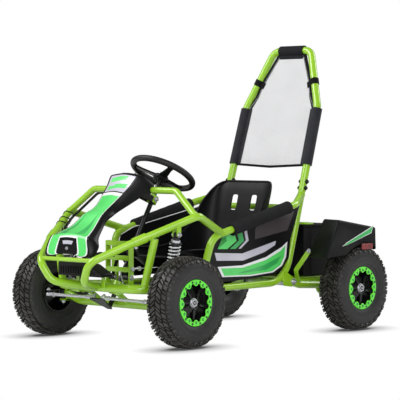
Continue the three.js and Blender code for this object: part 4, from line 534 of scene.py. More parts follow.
class Piece:
    """Simple shapes gathered into one object, each with its own material or the piece's main one."""

    def __init__(self, main=None):
        self.main = main
        self.vertices = []
        self.faces = []
        self.slots = []
        self.materials = []

    def add(self, shape, material=None):
        material = material or self.main
        if material not in self.materials:
            self.materials.append(material)
        slot = self.materials.index(material)
        start = len(self.vertices)
        vertices, faces = shape
        self.vertices += vertices
        self.faces += [tuple(start + k for k in face) for face in faces]
        self.slots += [slot] * len(faces)
        return self

    def both(self, shape, material=None):
        return self.add(shape, material).add(mirrored(shape), material)

    def flipped(self):
        other = Piece()
        other.vertices = [flip(v) for v in self.vertices]
        other.faces = [tuple(reversed(face)) for face in self.faces]
        other.slots = list(self.slots)
        other.materials = list(self.materials)
        return other

    def make(self, name, body, replaced=(), slot=None, bevel=0.0, sharp=38):
        data = bpy.data.meshes.new(name)
        data.from_pydata(self.vertices, [], self.faces)
        for material in self.materials:
            data.materials.append(material)
        data.polygons.foreach_set("material_index", self.slots)
        data.update()
        data.shade_smooth()
        data.set_sharp_from_angle(angle=math.radians(sharp))
        item = bpy.data.objects.new(name, data)
        bpy.context.scene.collection.objects.link(item)
        if bevel:
            edge = item.modifiers.new("edge", "BEVEL")
            edge.width = bevel
            edge.segments = bevel_segments
            edge.limit_method = "ANGLE"
            edge.angle_limit = bevel_limit
        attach(item, body)
        if replaced:
            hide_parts(*replaced)
        return item


def merge(piece, other):
    """Adds all of one piece to another."""
    for slot, material in enumerate(other.materials):
        faces = [face for face, used in zip(other.faces, other.slots) if used == slot]
        kept = sorted({k for face in faces for k in face})
        index = {k: i for i, k in enumerate(kept)}
        shape = [other.vertices[k] for k in kept], [tuple(index[k] for k in face) for face in faces]
        piece.add(shape, material)


def merge_both(piece, half):
    merge(piece, half)
    merge(piece, half.flipped())


def make_pair(piece, name, body, node, slot, bevel=0.0):
    """A left piece and its mirror image. A body that isn't shared carries {side} in its name."""
    for side, item in (("left", piece), ("right", piece.flipped())):
        item.make(f"{name}_{side}", body.format(side=side), [f"{node}_{side}"], slot, bevel)


weld_steps = 44
weld_size = 2.3 * MM
weld_sides = 8
weld_ripple = 0.16
weld_ripple_turn = 2.1


def weld(start, end, radius, other, other_end, other_radius):
    """The weld bead where a tube from start towards end meets another tube."""
    direction = (end - start).normalized()
    other_direction = (other_end - other).normalized()
    normal = direction.orthogonal().normalized()
    side = direction.cross(normal)
    points = []
    for a, b in circle(radius, weld_steps):
        wall = start + normal * a + side * b
        away = wall - other
        run = direction - other_direction * direction.dot(other_direction)
        across = away - other_direction * away.dot(other_direction)
        square = run.dot(run)
        half = run.dot(across)
        inside = half * half - square * (across.dot(across) - other_radius**2)
        reach = (-half - math.sqrt(max(inside, 0))) / square
        points.append(wall + direction * reach)
    thick = [weld_size * (1 + weld_ripple * math.sin(i * weld_ripple_turn)) for i in range(weld_steps)]
    return sweep(points, lambda i: thick[i], weld_sides, closed=True)


# A bolt's washer, head and cap: height, radius, radius at the end and sides, as shares of the head's radius
bolt_parts = [(0.3, 1.45, 1.45, small_sides), (0.85, 1, 0.96, 6), (0.35, 0.55, 0.4, small_sides)]


def bolt(piece, place, direction, radius, reach=0.0, metal=bright_steel):
    """A hexagon bolt head on its washer, with a rounded end."""
    direction = direction.normalized()
    start = place + direction * reach
    for height, wide, wide_end, sides in bolt_parts:
        end = start + direction * radius * height
        piece.add(rod(start, end, radius * wide, sides, radius * wide_end), metal)
        start = end


# Tubes of the frame, left side
loop_radius = 16 * MM
main_radius = 14 * MM
dash_radius = 12.5 * MM
roll_radius = 15 * MM
column_radius = 9 * MM
plate_thick = 5 * MM
rail_height = 191
loop_height = 207
loop_line = front_axle - 106

loop_corner = at(220, loop_line, loop_height)
rail_dip = at(220, front_axle + 219, rail_height)
loop_end = at_y(loop_corner, rail_dip, at(0, front_axle + 40, 0).y)
kick = at(207.5, rear_axle - 232, rail_height)
socket = at(194, rear_axle - 117, 528)
hoop_foot = at(220, front_axle + 207, rail_height)
hoop_corner = at(256, front_axle + 241, 384)
armrest_rear = at(262, rear_axle - 231, 493)
roll_lean = math.atan2(1, 3.25)
roll_up = Vector((0, math.sin(roll_lean), math.cos(roll_lean)))
roll_front = X.cross(roll_up)
collar_top = socket + roll_up * main_radius
hood_front = at(217, front_axle - 131, 376)
hood_rear = at(338, front_axle + 79, 470)
hood_end = at_y(hoop_corner, armrest_rear, at(0, front_axle + 294, 0).y)
bumper_horn = at(128, front_axle - 266, 306)
bumper_low = at(84, front_axle - 248, 232)
bumper_seat = at(12, loop_line - 4, loop_height)
dash_foot = hood_front.lerp(hood_rear, 0.96)
dash_corner = at(215, front_axle + 92, 557)
post_foot = at(212, loop_line + 34, loop_height)
post_top = at_y(hood_front, hood_rear, at(0, front_axle - 61, 0).y)

column_lean = math.radians(30)
column_up = Vector((0, math.sin(column_lean), math.cos(column_lean)))
column_ahead = Vector((0, -math.cos(column_lean), math.sin(column_lean)))
wheel_centre = at(0, front_axle + 243, 616)


def down_column(distance):
    return wheel_centre - column_up * distance


column_foot = down_column(566 * MM)
hoop_bends = [60 * MM, 60 * MM, 30 * MM]
kick_bend = 130 * MM


def ears(piece, eye, carrier, room):
    """Two ears and their bolt, which hold a shock's eye."""
    eye_radius = 9 * MM
    eye_half = 8 * MM
    side = X * (eye_half + room + plate_thick / 2)
    up = (carrier - eye).normalized()
    right = up.cross(X).normalized()
    reach = (carrier - eye).length
    turns = [math.pi + math.pi * k / 10 for k in range(11)]
    outline = [(eye_radius * math.cos(t), eye_radius * math.sin(t)) for t in turns]
    outline += [(eye_radius * 1.15, reach), (-eye_radius * 1.15, reach)]
    for shift in (side, -side):
        piece.add(plate(eye + shift, right, up, outline, plate_thick), frame_paint)
    piece.add(rod(eye - side * 1.3, eye + side * 1.3, 4 * MM), bright_steel)
    for shift in (side, -side):
        bolt(piece, eye + shift * 1.22, shift, 6.5 * MM)


def add_lower_frame():
    loop = Piece(frame_paint)
    corners = [flip(loop_end), flip(loop_corner), loop_corner, loop_end]
    loop.add(tube(corners, 72 * MM, loop_radius))
    half = Piece(frame_paint)
    half.add(rod(post_foot, post_top - Z * 17 * MM, main_radius, tube_sides))
    half.add(weld(post_top, post_foot, main_radius, loop_corner, loop_end, loop_radius))
    pivot = at(trailing_arm_half, trailing_pivot_line, trailing_pivot_height)
    inner = (trailing_arm_half + trailing_tube_half) * MM
    gusset = [(0, 0), (100, 0), (78, -6), (30, -22), (14, -24), (0, -24)]
    gusset_at = Vector((inner, loop_corner.y + 6 * MM, loop_corner.z))
    half.add(plate(gusset_at, X, Z, sized(gusset), 6 * MM))
    ear = [(0, 12), (10, -12), (26, -20), (40, -14), (42, 4), (30, 16)]
    ear_at = Vector((inner + 3 * MM, loop_corner.y, pivot.z + 4 * MM))
    half.add(plate(ear_at, Y, Z, sized(ear), 6 * MM))
    bolt_inner = at(trailing_arm_half - 27, trailing_pivot_line, trailing_pivot_height)
    half.add(rod(bolt_inner, at(105, trailing_pivot_line, trailing_pivot_height), 6 * MM), bright_steel)
    bolt(half, at(99, trailing_pivot_line, trailing_pivot_height), X, 8 * MM)
    bolt(half, bolt_inner, -X, 8 * MM, -4 * MM)
    merge_both(loop, half)
    loop.make("front_loop_tube", "frame", ["front_loop"], "frame_paint", 0.6 * MM)

    pivot = at(220, swing_pivot_line, rail_height)
    plate_x = (swing_arm_half + axle_tube_radius + 3.35) * MM
    outline = [(-62, 10), (-50, -14), (-12, -19), (0, -17), (12, -12), (17, 0), (12, 12), (0, 17), (-44, 42)]
    rail = Piece(frame_paint)
    rail.add(tube([loop_end, rail_dip, kick, socket], kick_bend, main_radius))
    plate_at = Vector((plate_x, pivot.y, pivot.z))
    rail.add(plate(plate_at, Y, Z, sized(outline), 6 * MM))
    rail.add(rod(Vector((188 * MM, pivot.y, pivot.z)), plate_at, 6 * MM), bright_steel)
    bolt(rail, Vector((plate_x + 3 * MM, pivot.y, pivot.z)), X, 9 * MM)
    make_pair(rail, "side_rail_tube", "frame", "side_rail", "frame_paint", 0.6 * MM)


def add_upper_frame():
    hoop = Piece(frame_paint)
    corners = [hoop_foot, hoop_corner, armrest_rear, socket, collar_top]
    hoop.add(tube(corners, hoop_bends, main_radius))
    spigot_top = socket + roll_up * 74 * MM
    hoop.add(rod(collar_top - roll_up * 5 * MM, spigot_top, 12.2 * MM, tube_sides))
    hoop.add(weld(hoop_corner, hoop_foot, main_radius, rail_dip, kick, main_radius))
    kick_up = at_z(kick, socket, at(0, 0, 400).z)
    hoop.add(weld(kick_up, socket, main_radius, armrest_rear, socket, main_radius))
    make_pair(hoop, "side_hoop_tube", "frame", "side_hoop", "frame_paint")

    hood = Piece(frame_paint)
    corners = [along(hood_front, hood_rear, 22 * MM), hood_rear, hood_end]
    hood.add(tube(corners, 34 * MM, main_radius))
    hood.add(pipe(hood_front, along(hood_front, hood_rear, 52 * MM), 14.4 * MM, 17.4 * MM))
    hood.add(weld(hood_rear, hood_end, main_radius, hoop_corner, armrest_rear, main_radius))
    hood.add(weld(post_foot, post_top, main_radius, hood_front, hood_rear, main_radius))
    sleeve_middle = along(hood_front, hood_rear, 12 * MM)
    bolt(hood, sleeve_middle, -Z, 6 * MM, 17.4 * MM)
    carrier = at_y(hood_front, hood_rear, at(0, front_shock_line, 0).y)
    ears(hood, shock_top_of(carrier), carrier, running_gap * MM)
    make_pair(hood, "hood_rail_tube", "frame", "hood_rail", "frame_paint", 0.5 * MM)

    bumper = Piece(frame_paint)
    path = [along(hood_front, hood_rear, 21.7 * MM), along(hood_front, hood_rear, -main_radius), bumper_horn,
            bumper_low, bumper_seat]
    bumper.both(tube(path, 52 * MM, main_radius))
    chin = at_z(path[1], path[2], at(0, 0, 314).z)
    bumper.add(rod(flip(chin), chin, 8 * MM, tube_sides))
    bead = weld(bumper_low, bumper_seat, main_radius, loop_corner, flip(loop_corner), loop_radius)
    bumper.both(bead)
    bumper.make("front_bumper_tube", "frame", ["front_bumper"], "frame_paint")


def shock_top_of(carrier):
    return carrier - Z * shock_eye_drop * MM


def add_dash():
    dash = Piece(frame_paint)
    corners = [flip(dash_foot), flip(dash_corner), dash_corner, dash_foot]
    dash.add(tube(corners, 40 * MM, dash_radius))
    dash.both(weld(dash_corner, dash_foot, dash_radius, hood_front, hood_rear, main_radius))
    ring = down_column(112 * MM)
    dash.add(hub_pipe(ring, column_up, 14.4, 10.6, 19.8))
    bar = Vector((0, dash_corner.y, dash_corner.z))
    right = (ring - bar).normalized()
    up = X.cross(right).normalized()
    reach = (ring - bar).length - 10 * MM
    low, high, tip = -16 * MM, 16 * MM, 8 * MM
    web = [(0, low), (reach, low), (reach, tip), (0, high)]
    for side in (1, -1):
        dash.add(plate(bar + X * side * 13.5 * MM, right, up, web, plate_thick), black_steel)
    bolt(dash, ring + X * 19.8 * MM, X, 7 * MM)
    bolt(dash, ring - X * 19.8 * MM, -X, 7 * MM)
    tab_top = fairing_at(0, 8 * 0.1)
    tab_up = tab_top - bar
    tab_reach = tab_up.length - 5 * MM
    tab = [(-27 * MM, 0), (27 * MM, 0), (22 * MM, tab_reach), (-22 * MM, tab_reach)]
    dash.add(plate(bar, X, tab_up.normalized(), tab, plate_thick))
    dash.make("dash_bar_tube", "frame", ["dash_bar"], "frame_paint", 0.5 * MM)


def add_rear_cross():
    cross = Piece(frame_paint)
    point = at_z(kick, socket, at(0, 0, rear_cross_height).z)
    centre = Vector((0, point.y, point.z))
    cross.add(rod(flip(point), point, dash_radius, tube_sides))
    cross.both(weld(centre, centre + X, dash_radius, kick, socket, main_radius))
    ears(cross, Vector((0, point.y, rear_shock_top_height * MM)), centre, running_gap * MM)
    cross.make("rear_cross_tube_form", "frame", ["rear_cross_tube"], "frame_paint", 0.5 * MM)


# Roll bar and its net, in their own leaning plane: across, up the lean and forward of it
def on_roll(x, up, ahead=0.0):
    return Vector((0, socket.y, socket.z)) + X * x * MM + roll_up * up * MM - roll_front * ahead * MM


roll_bend = 359
roll_top = 599
roll_path = [on_roll(194, 14.3), on_roll(188, roll_bend), on_roll(96, roll_top)]
strap_ends = (452, 476)
net_half_width = 179
net_foot = 120
net_edge = [(net_half_width, net_foot), (net_half_width, 346), (137, 407), (122, 458), (58, 585)]
thread_steps = 9
net_pitch = 3.3
thread_radius = 0.55
net_belly = 7
net_sag = 9
sleeve_radius = 20.6


def net_half(height):
    """Half width of the net at a height up its plane."""
    for (x0, z0), (x1, z1) in zip(net_edge, net_edge[1:]):
        if z0 <= height <= z1:
            return x0 + (x1 - x0) * (height - z0) / (z1 - z0)
    return net_edge[0][0]


def net_point(x, up):
    """A point of the sagging cloth."""
    high = (up - net_edge[0][1]) / (net_edge[-1][1] - net_edge[0][1])
    wide = 1 - (x / max(net_half(up), 1)) ** 2
    droop = net_sag * (1 - abs(x) / net_half_width) * max(0, 1 - high * 5)
    return on_roll(x, up - droop, net_belly * wide * math.sin(math.pi * min(max(high, 0), 1)))


def add_roll_bar():
    bar = Piece(frame_paint)
    path = [flip(p) for p in roll_path] + list(reversed(roll_path))
    bar.add(tube(path, [90 * MM, 45 * MM, 45 * MM, 90 * MM], roll_radius))
    for up in (26, 52):
        for side in (1, -1):
            outward = X * side
            place = on_roll(side * 194, up)
            bolt(bar, place + outward * roll_radius, outward, 6.5 * MM, metal=black_steel)
            bolt(bar, place - outward * roll_radius, -outward, 6.5 * MM, metal=black_steel)
    bar.make("roll_bar_tube", "frame", ["roll_bar"], "frame_paint", 0.4 * MM)


def cloth_tube(start, end, tail_direction, tail, radius=sleeve_radius * MM):
    """A sewn sleeve round the bar with a flat flange that runs out from it."""
    axis = (end - start).normalized()
    turns = [math.pi * (0.06 + 1.88 * k / 26) for k in range(27)]
    section = [(radius * math.cos(t), radius * math.sin(t)) for t in turns]
    section += [(radius + tail, -1.1 * MM), (radius + tail, 1.1 * MM)]
    steps = 16
    points = [start.lerp(end, k / steps) for k in range(steps + 1)]
    return sweep(points, 0, section=section, first=tail_direction - axis * tail_direction.dot(axis))


def add_net():
    threads = Piece()
    low, high = net_edge[0][1], net_edge[-1][1]
    columns = int(net_half_width / net_pitch)
    for k in range(-columns, columns + 1):
        x = k * net_pitch
        top = low
        while top < high and net_half(top) >= abs(x):
            top += net_pitch
        line = [net_point(x, low + (top - low) * s / thread_steps) for s in range(thread_steps + 1)]
        threads.add(sweep(line, thread_radius * MM, 4), net_cloth)
    up = low + net_pitch / 2
    while up < high:
        half = net_half(up)
        line = [net_point(half * (2 * s / thread_steps - 1), up) for s in range(thread_steps + 1)]
        threads.add(sweep(line, thread_radius * MM, 4), net_cloth)
        up += net_pitch
    net = threads.make("roll_bar_net_cloth", "frame", ["roll_bar_net"], "net_cloth", sharp=180)

    sewn = Piece()
    for side in (1, -1):
        foot = on_roll(side * 192.2, net_foot)
        head = on_roll(side * 188.2, 353)
        sewn.add(cloth_tube(foot, head, X * -side, 13 * MM), sleeve_cloth)
        shares = [(up - roll_bend) / (roll_top - roll_bend) for up in strap_ends]
        strap = [roll_path[1].lerp(roll_path[2], share) for share in shares]
        if side < 0:
            strap = [flip(point) for point in strap]
        sewn.add(cloth_tube(*strap, X * -side, 20 * MM, 17.6 * MM), binding_cloth)
        edge = [(172, 344), (141, 404), (126, 456), (62, 588)]
        line = bent([on_roll(side * x, z, 1.5) for x, z in edge], 20 * MM)
        sewn.add(sweep(line, 0, section=strip_section(-7, 10, 1.6), first=X * side), binding_cloth)
    sewn.add(cloth_tube(on_roll(-62, roll_top), on_roll(62, roll_top), -roll_up, 14 * MM), top_cloth)
    hem = [net_point(-176 + 352 * k / 24, net_foot) for k in range(25)]
    sewn.add(sweep(hem, 5 * MM, 10), binding_cloth)
    sewn_item = sewn.make("roll_bar_net_binding", "frame", slot="net_cloth", bevel=0.4 * MM)
    for (x0, z0), (x1, z1) in zip(net_edge, net_edge[1:]):
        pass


def add_pads():
    start = along(hoop_corner, armrest_rear, 106 * MM)
    end = along(start, armrest_rear, 332 * MM)
    length = (end - start).length
    radius = 24.5 * MM
    edge = 5 * MM
    bore = 14.3 * MM
    lip = 17 * MM
    ripple = 0.35 * MM
    steps = 24
    turns = [math.pi / 2 * k / 6 for k in range(7)]
    rounds = [(radius - edge * (1 - math.sin(turn)), edge * (1 - math.cos(turn))) for turn in turns]
    profile = [(bore, 1 * MM), (lip, 0)] + rounds
    for k in range(1, steps):
        profile.append((radius + ripple * math.sin(k * 1.7) - 0.3 * MM, length * k / steps))
    profile += [(wide, length - low) for wide, low in reversed(rounds)]
    profile += [(lip, length), (bore, length - 1 * MM)]
    pad = Piece().add(turned(profile, start, (end - start).normalized(), 40, closed=True), foam)
    for side, item in (("left", pad), ("right", pad.flipped())):
        made = item.make(f"armrest_foam_{side}", "frame", [f"armrest_pad_{side}"], "foam", sharp=60)


# Nose fairing, from the same stations as its solid
fairing_station_shares = [
    [0.0, 0.0, 0.52, 0.03, -0.02, 0.56],
    [0.006, 0.02, 0.84, 0.05, 0.0, 0.88],
    [0.036, 0.214, 0.74, 0.12, 0.11, 0.93],
    [0.1, 0.26, 0.68, 0.18, 0.215, 0.78],
    [0.24, 0.345, 0.5, 0.32, 0.33, 0.58],
    [0.32, 0.42, 0.43, 0.42, 0.42, 0.48],
    [0.4, 0.5, 0.38, 0.52, 0.48, 0.46],
    [0.55, 0.6, 0.3, 0.62, 0.53, 0.42],
    [0.77, 0.82, 0.45, 0.84, 0.67, 0.56],
    [0.91, 0.985, 0.56, 0.95, 0.75, 0.66],
    [1.08, 0.865, 0.68, 1.0, 0.74, 0.71],
]
fairing_length = 332
fairing_height = 290
fairing_half = 136
fairing_crown = 0.12


def fairing_place(length, height, half):
    return at(half * fairing_half, front_axle - 253 + length * fairing_length, 326 + height * fairing_height)


def fairing_station(v):
    """The station at a share of the way from chin to top."""
    place = min(max(v, 0), 0.9999) * (len(fairing_station_shares) - 1)
    i = int(place)
    rows = fairing_station_shares
    near = [rows[max(i - 1, 0)], rows[i], rows[i + 1], rows[min(i + 2, len(rows) - 1)]]
    return curve_between(near, place - i)


def fairing_at(u, v):
    """A point of the face that the graphics lie on, u across from -1 to 1."""
    length, height, half = fairing_station(v)[:3]
    edge = fairing_place(length, height, half)
    lift = fairing_crown * edge.x * (1 - abs(u) ** 1.6)
    return Vector((edge.x * u, edge.y, edge.z + lift))


def fairing_film(u, v, lift):
    step = 0.004
    across = fairing_at(u + step, v) - fairing_at(u - step, v)
    down = fairing_at(u, v + step) - fairing_at(u, v - step)
    return fairing_at(u, v) + across.cross(down).normalized() * lift


def fairing_row(v):
    length, height, half, skirt_length, skirt_height, skirt_half = fairing_station(v)
    edge = fairing_place(length, height, half)
    skirt = fairing_place(skirt_length, skirt_height, skirt_half)
    shoulder = edge.lerp(skirt, 0.5) + Vector((6 * MM, 0, 5 * MM))
    side = []
    for k in range(1, 9):
        t = k / 8
        side.append(edge * (1 - t) ** 2 + shoulder * (2 * t * (1 - t)) + skirt * t * t)
    face = [fairing_at(-1 + k / 8, v) for k in range(17)]
    return [flip(p) for p in reversed(side)] + face + side


def add_fairing():
    count = 88
    rows = [fairing_row(k / count) for k in range(count + 1)]
    nose = Piece().add(shell(rows, 3.5 * MM), black_plastic)
    nose.make("nose_fairing_shell", "frame", ["nose_fairing"], "black_plastic", 0.5 * MM, sharp=30)
    layers = [
        ("white", white_film, 0.25, [(-0.93, 0.14), (-0.92, 0.28), (-0.93, 0.4), (-0.92, 0.77), (0.92, 0.77),
                                     (0.93, 0.4), (0.92, 0.28), (0.93, 0.14), (0.87, 0.035), (0.55, 0.02),
                                     (0.42, 0.185), (-0.42, 0.185), (-0.55, 0.02), (-0.87, 0.035)]),
        ("mint", mint_film, 0.5, [(-0.88, 0.15), (-0.87, 0.29), (-0.88, 0.4), (-0.86, 0.755), (0.86, 0.755),
                                  (0.88, 0.4), (0.87, 0.29), (0.88, 0.15), (0.82, 0.05), (0.61, 0.037),
                                  (0.46, 0.2), (-0.46, 0.2), (-0.61, 0.037), (-0.82, 0.05)]),
        ("silver", silver_film, 0.25, [(-0.88, 0.775), (-0.88, 0.875), (0.88, 0.875), (0.88, 0.775)]),
        ("stripe_low", mint_film, 0.5, [(-0.75, 0.785), (-0.75, 0.81), (0.7, 0.822), (0.7, 0.797)]),
        ("stripe_high", mint_film, 0.5, [(-0.75, 0.828), (-0.75, 0.855), (0.4, 0.867), (0.4, 0.84)]),
        ("chin_bar", silver_film, 0.25, [(-0.2, 0.145), (-0.26, 0.165), (0.26, 0.165), (0.2, 0.145)]),
        ("dart_left", deep_green_film, 0.75, [(0.28, 0.24), (0.6, 0.62), (0.66, 0.3)]),
        ("dart_right", deep_green_film, 0.75, [(-0.28, 0.24), (-0.66, 0.3), (-0.6, 0.62)]),
    ]
    for name, material, lift, outline in layers:
        film(f"nose_{name}", outline, fairing_film, lift * MM, (0.07, 0.02), material)
    screw = Piece()
    at_screw = fairing_film(0, 0.12, 0.5 * MM)
    outward = fairing_film(0, 0.12, 1) - fairing_film(0, 0.12, 0)
    bolt(screw, at_screw, outward, 4.2 * MM)
    high = fairing_film(0, 0.93, 0.6 * MM)
    for side in (1, -1):
        bolt(screw, high + X * side * 30 * MM, Vector((0, -0.4, 0.9)), 3.4 * MM)
    screw.make("nose_screws", "frame", slot="bright_steel")


def film(name, outline, place, lift, step, material, body="frame"):
    """A thin closed film: an outline in a surface's (u, v), cut into a grid and laid on that surface."""
    mesh = bmesh.new()
    mesh.faces.new([mesh.verts.new((u, v, 0)) for u, v in outline])
    bmesh.ops.triangulate(mesh, faces=mesh.faces[:])
    for axis in (0, 1):
        spread = [point[axis] for point in outline]
        line = math.floor(min(spread) / step[axis]) * step[axis] + step[axis]
        while line < max(spread):
            normal = (X, Y)[axis]
            whole = mesh.verts[:] + mesh.edges[:] + mesh.faces[:]
            bmesh.ops.bisect_plane(mesh, geom=whole, plane_co=normal * line, plane_no=normal, dist=1e-5)
            line += step[axis]
    mesh.verts.index_update()
    if sum(face.normal.z for face in mesh.faces) < 0:
        bmesh.ops.reverse_faces(mesh, faces=mesh.faces[:])
    count = len(mesh.verts)
    flat = [(v.co.x, v.co.y) for v in mesh.verts]
    vertices = [place(u, v, lift) for u, v in flat] + [place(u, v, lift - 0.2 * MM) for u, v in flat]
    faces = [tuple(v.index for v in face.verts) for face in mesh.faces]
    faces += [tuple(reversed([k + count for k in face])) for face in faces]
    for edge in mesh.edges:
        if len(edge.link_loops) == 1:
            loop = edge.link_loops[0]
            a, b = loop.vert.index, loop.link_loop_next.vert.index
            faces.append((b, a, a + count, b + count))
    mesh.free()
    Piece().add((vertices, faces), material).make(name, body, slot="black_plastic", sharp=50)


# Bucket seat, from the same stations as its solid
seat_station_shares = [
    [0.0, 0.28, 0.84, 0.02, 0],
    [0.025, 0.29, 0.93, 0.05, 0],
    [0.09, 0.23, 1.0, 0.12, 0],
    [0.22, 0.11, 1.0, 0.24, 0],
    [0.4, 0.0, 1.0, 0.35, 0],
    [0.58, 0.0, 1.0, 0.41, 0.1],
    [0.72, 0.04, 1.0, 0.45, 0.4],
    [0.81, 0.16, 1.02, 0.44, 0.8],
    [0.86, 0.34, 1.05, 0.34, 1.1],
    [0.9, 0.52, 1.06, 0.25, 1.25],
    [0.935, 0.72, 1.035, 0.17, 1.25],
    [0.96, 0.85, 0.985, 0.1, 1.25],
    [0.975, 0.92, 0.925, 0.06, 1.25],
    [0.986, 0.96, 0.86, 0.035, 1.25],
    [0.994, 0.985, 0.78, 0.015, 1.25],
    [1.0, 1.0, 0.66, 0.0, 1.25],
]
seat_flat_share = 0.58
seat_half = 156
seat_depth = 540
seat_rise = 380
seat_wall = 5.5 * MM


def seat_section():
    """Half round cheeks either side of a flat middle: shares of the half width and of the cheek's height."""
    half = [(0.0, 0.0), (seat_flat_share / 2, 0.0), (seat_flat_share, 0.0)]
    for k in range(1, 17):
        turn = math.pi / 2 * k / 16
        out = math.sin(turn) ** 0.85
        half.append((seat_flat_share + (1 - seat_flat_share) * out, 1 - math.cos(turn)))
    return [(-across, stand) for across, stand in reversed(half[1:])] + half


def add_seat():
    section = seat_section()
    rows = []
    for depth, rise, half, wing, turn in smooth(seat_station_shares, 5):
        up = Vector((0, -math.sin(turn), math.cos(turn)))
        base = at(0, seat_line - seat_depth * (1 - depth), 197.3 + seat_rise * rise)
        row = []
        for across, stand in section:
            row.append(base + X * (across * half * seat_half * MM) + up * (stand * wing * seat_rise * MM))
        rows.append(row)
    bucket = Piece().add(shell(rows, seat_wall), seat_plastic)
    rim = rows[0] + [row[-1] for row in rows[1:]] + rows[-1][-2::-1] + [row[0] for row in rows[-2:0:-1]]
    bucket_item = bucket.make("seat_bucket", "frame", ["seat"], "black_plastic", sharp=50)
    cutters = []
    for side in (1, -1):
        outline = rounded(31 * MM, 60 * MM, 8 * MM, 4)
        centre = at(side * 50, seat_line, rail_height + 304)
        made = Piece().add(plate(centre, X, Z, outline, 0.3), seat_plastic)
        data = bpy.data.meshes.new("slot_cutter")
        data.from_pydata(made.vertices, [], made.faces)
        cutter = bpy.data.objects.new(f"slot_cutter_{side}", data)
        bpy.context.scene.collection.objects.link(cutter)
        cutters.append(cutter)
        cut = bucket_item.modifiers.new("slot", "BOOLEAN")
        cut.object = cutter
        cut.solver = "EXACT"
    settle(bucket_item)
    for cutter in cutters:
        bpy.data.objects.remove(cutter)
    bucket_item.data.shade_smooth()
    bucket_item.data.set_sharp_from_angle(angle=math.radians(50))
    lip = Piece().add(sweep(rim, 4.6 * MM, 10, closed=True), seat_plastic)
    lip.make("seat_lip", "frame", slot="black_plastic", sharp=180)
    pins = Piece()
    for x in (-118, 118):
        for y in (-90, 60):
            bolt(pins, at(x, y, 203), Z, 6 * MM)
    pins.make("seat_bolts", "frame", slot="bright_steel")


def settle(item):
    """Turns an object's modifiers into its mesh."""
    bpy.context.view_layer.update()
    graph = bpy.context.evaluated_depsgraph_get()
    made = bpy.data.meshes.new_from_object(item.evaluated_get(graph))
    item.modifiers.clear()
    item.data = made


def rounded(width, height, radius, steps):
    """Outline of a rectangle with round corners, about its middle."""
    points = []
    corners = [(1, 1, 0), (-1, 1, 90), (-1, -1, 180), (1, -1, 270)]
    for across, up, start in corners:
        x = across * (width / 2 - radius)
        z = up * (height / 2 - radius)
        for k in range(steps + 1):
            turn = math.radians(start + 90 * k / steps)
            points.append((x + radius * math.cos(turn), z + radius * math.sin(turn)))
    return points


# Side panels, with their own flat coordinates: share of length from the front, share of height
panel_outline_shares = [
    (0.0, 0.347), (0.17, 0.0), (0.47, 0.015), (0.7, 0.037), (0.8, 0.103), (0.877, 0.262), (0.897, 0.531),
    (1.0, 1.0), (0.84, 0.98), (0.155, 0.7), (0.04, 0.6),
]
panel_front = at(240, front_axle + 233, 213)
panel_rear = panel_front + Vector((-26 * MM, 553 * MM, 0))
panel_right = (panel_rear - panel_front).normalized()
panel_length = (panel_rear - panel_front).length
panel_height = 271 * MM


def panel_place(u, v, lift):
    outward = panel_right.cross(Z).normalized()
    place = panel_front + panel_right * (u * panel_length) + Z * (v * panel_height)
    return place + outward * (1.5 * MM + lift)


def far_panel_place(u, v, lift):
    return flip(panel_place(u, v, lift))


def add_panels():
    outline = [(a * panel_length, b * panel_height) for a, b in panel_outline_shares]
    sheet = Piece().add(plate(panel_front, panel_right, Z, outline, 3 * MM), black_plastic)
    trim = [panel_place(u, v, -1.5 * MM) for u, v in panel_outline_shares[8:]]
    sheet.add(sweep(trim, 2 * MM, 8), white_film)
    make_pair(sheet, "side_panel_sheet", "frame", "side_panel", "black_plastic", 0.8 * MM)
    layers = [
        ("taupe", taupe_film, 0.2, [(0.5, 0.56), (0.86, 0.66), (0.94, 0.93), (0.6, 0.86), (0.5, 0.7)]),
        ("sweep_edge", white_film, 0.2, [(0.15, 0.07), (0.45, 0.05), (0.7, 0.075), (0.8, 0.16), (0.845, 0.28),
                                         (0.86, 0.5), (0.8, 0.43), (0.62, 0.3), (0.36, 0.21), (0.1, 0.215)]),
        ("sweep", mint_film, 0.4, [(0.17, 0.085), (0.45, 0.068), (0.69, 0.093), (0.78, 0.17), (0.822, 0.28),
                                   (0.838, 0.445), (0.78, 0.37), (0.62, 0.26), (0.37, 0.178), (0.135, 0.19)]),
        ("sweep_core", deep_green_film, 0.6, [(0.3, 0.1), (0.62, 0.12), (0.74, 0.2), (0.79, 0.3),
                                              (0.6, 0.19)]),
        ("silver_bar", silver_film, 0.3, [(0.09, 0.30), (0.37, 0.275), (0.6, 0.37), (0.72, 0.46),
                                          (0.73, 0.52), (0.58, 0.46), (0.36, 0.375), (0.07, 0.41)]),
        ("chevron_front", mint_film, 0.4, [(0.1, 0.46), (0.2, 0.45), (0.3, 0.555), (0.27, 0.70), (0.17, 0.68),
                                           (0.2, 0.565)]),
        ("chevron_middle", deep_green_film, 0.4, [(0.23, 0.45), (0.29, 0.445), (0.38, 0.55), (0.355, 0.70),
                                                  (0.3, 0.69), (0.325, 0.56)]),
        ("chevron_rear", silver_film, 0.4, [(0.32, 0.445), (0.345, 0.445), (0.43, 0.55), (0.41, 0.70),
                                            (0.38, 0.695), (0.4, 0.555)]),
    ]
    for name, material, lift, points in layers:
        for side, place in (("left", panel_place), ("right", far_panel_place)):
            film(f"panel_{side}_{name}", points, place, lift * MM, (0.12, 0.12), material)


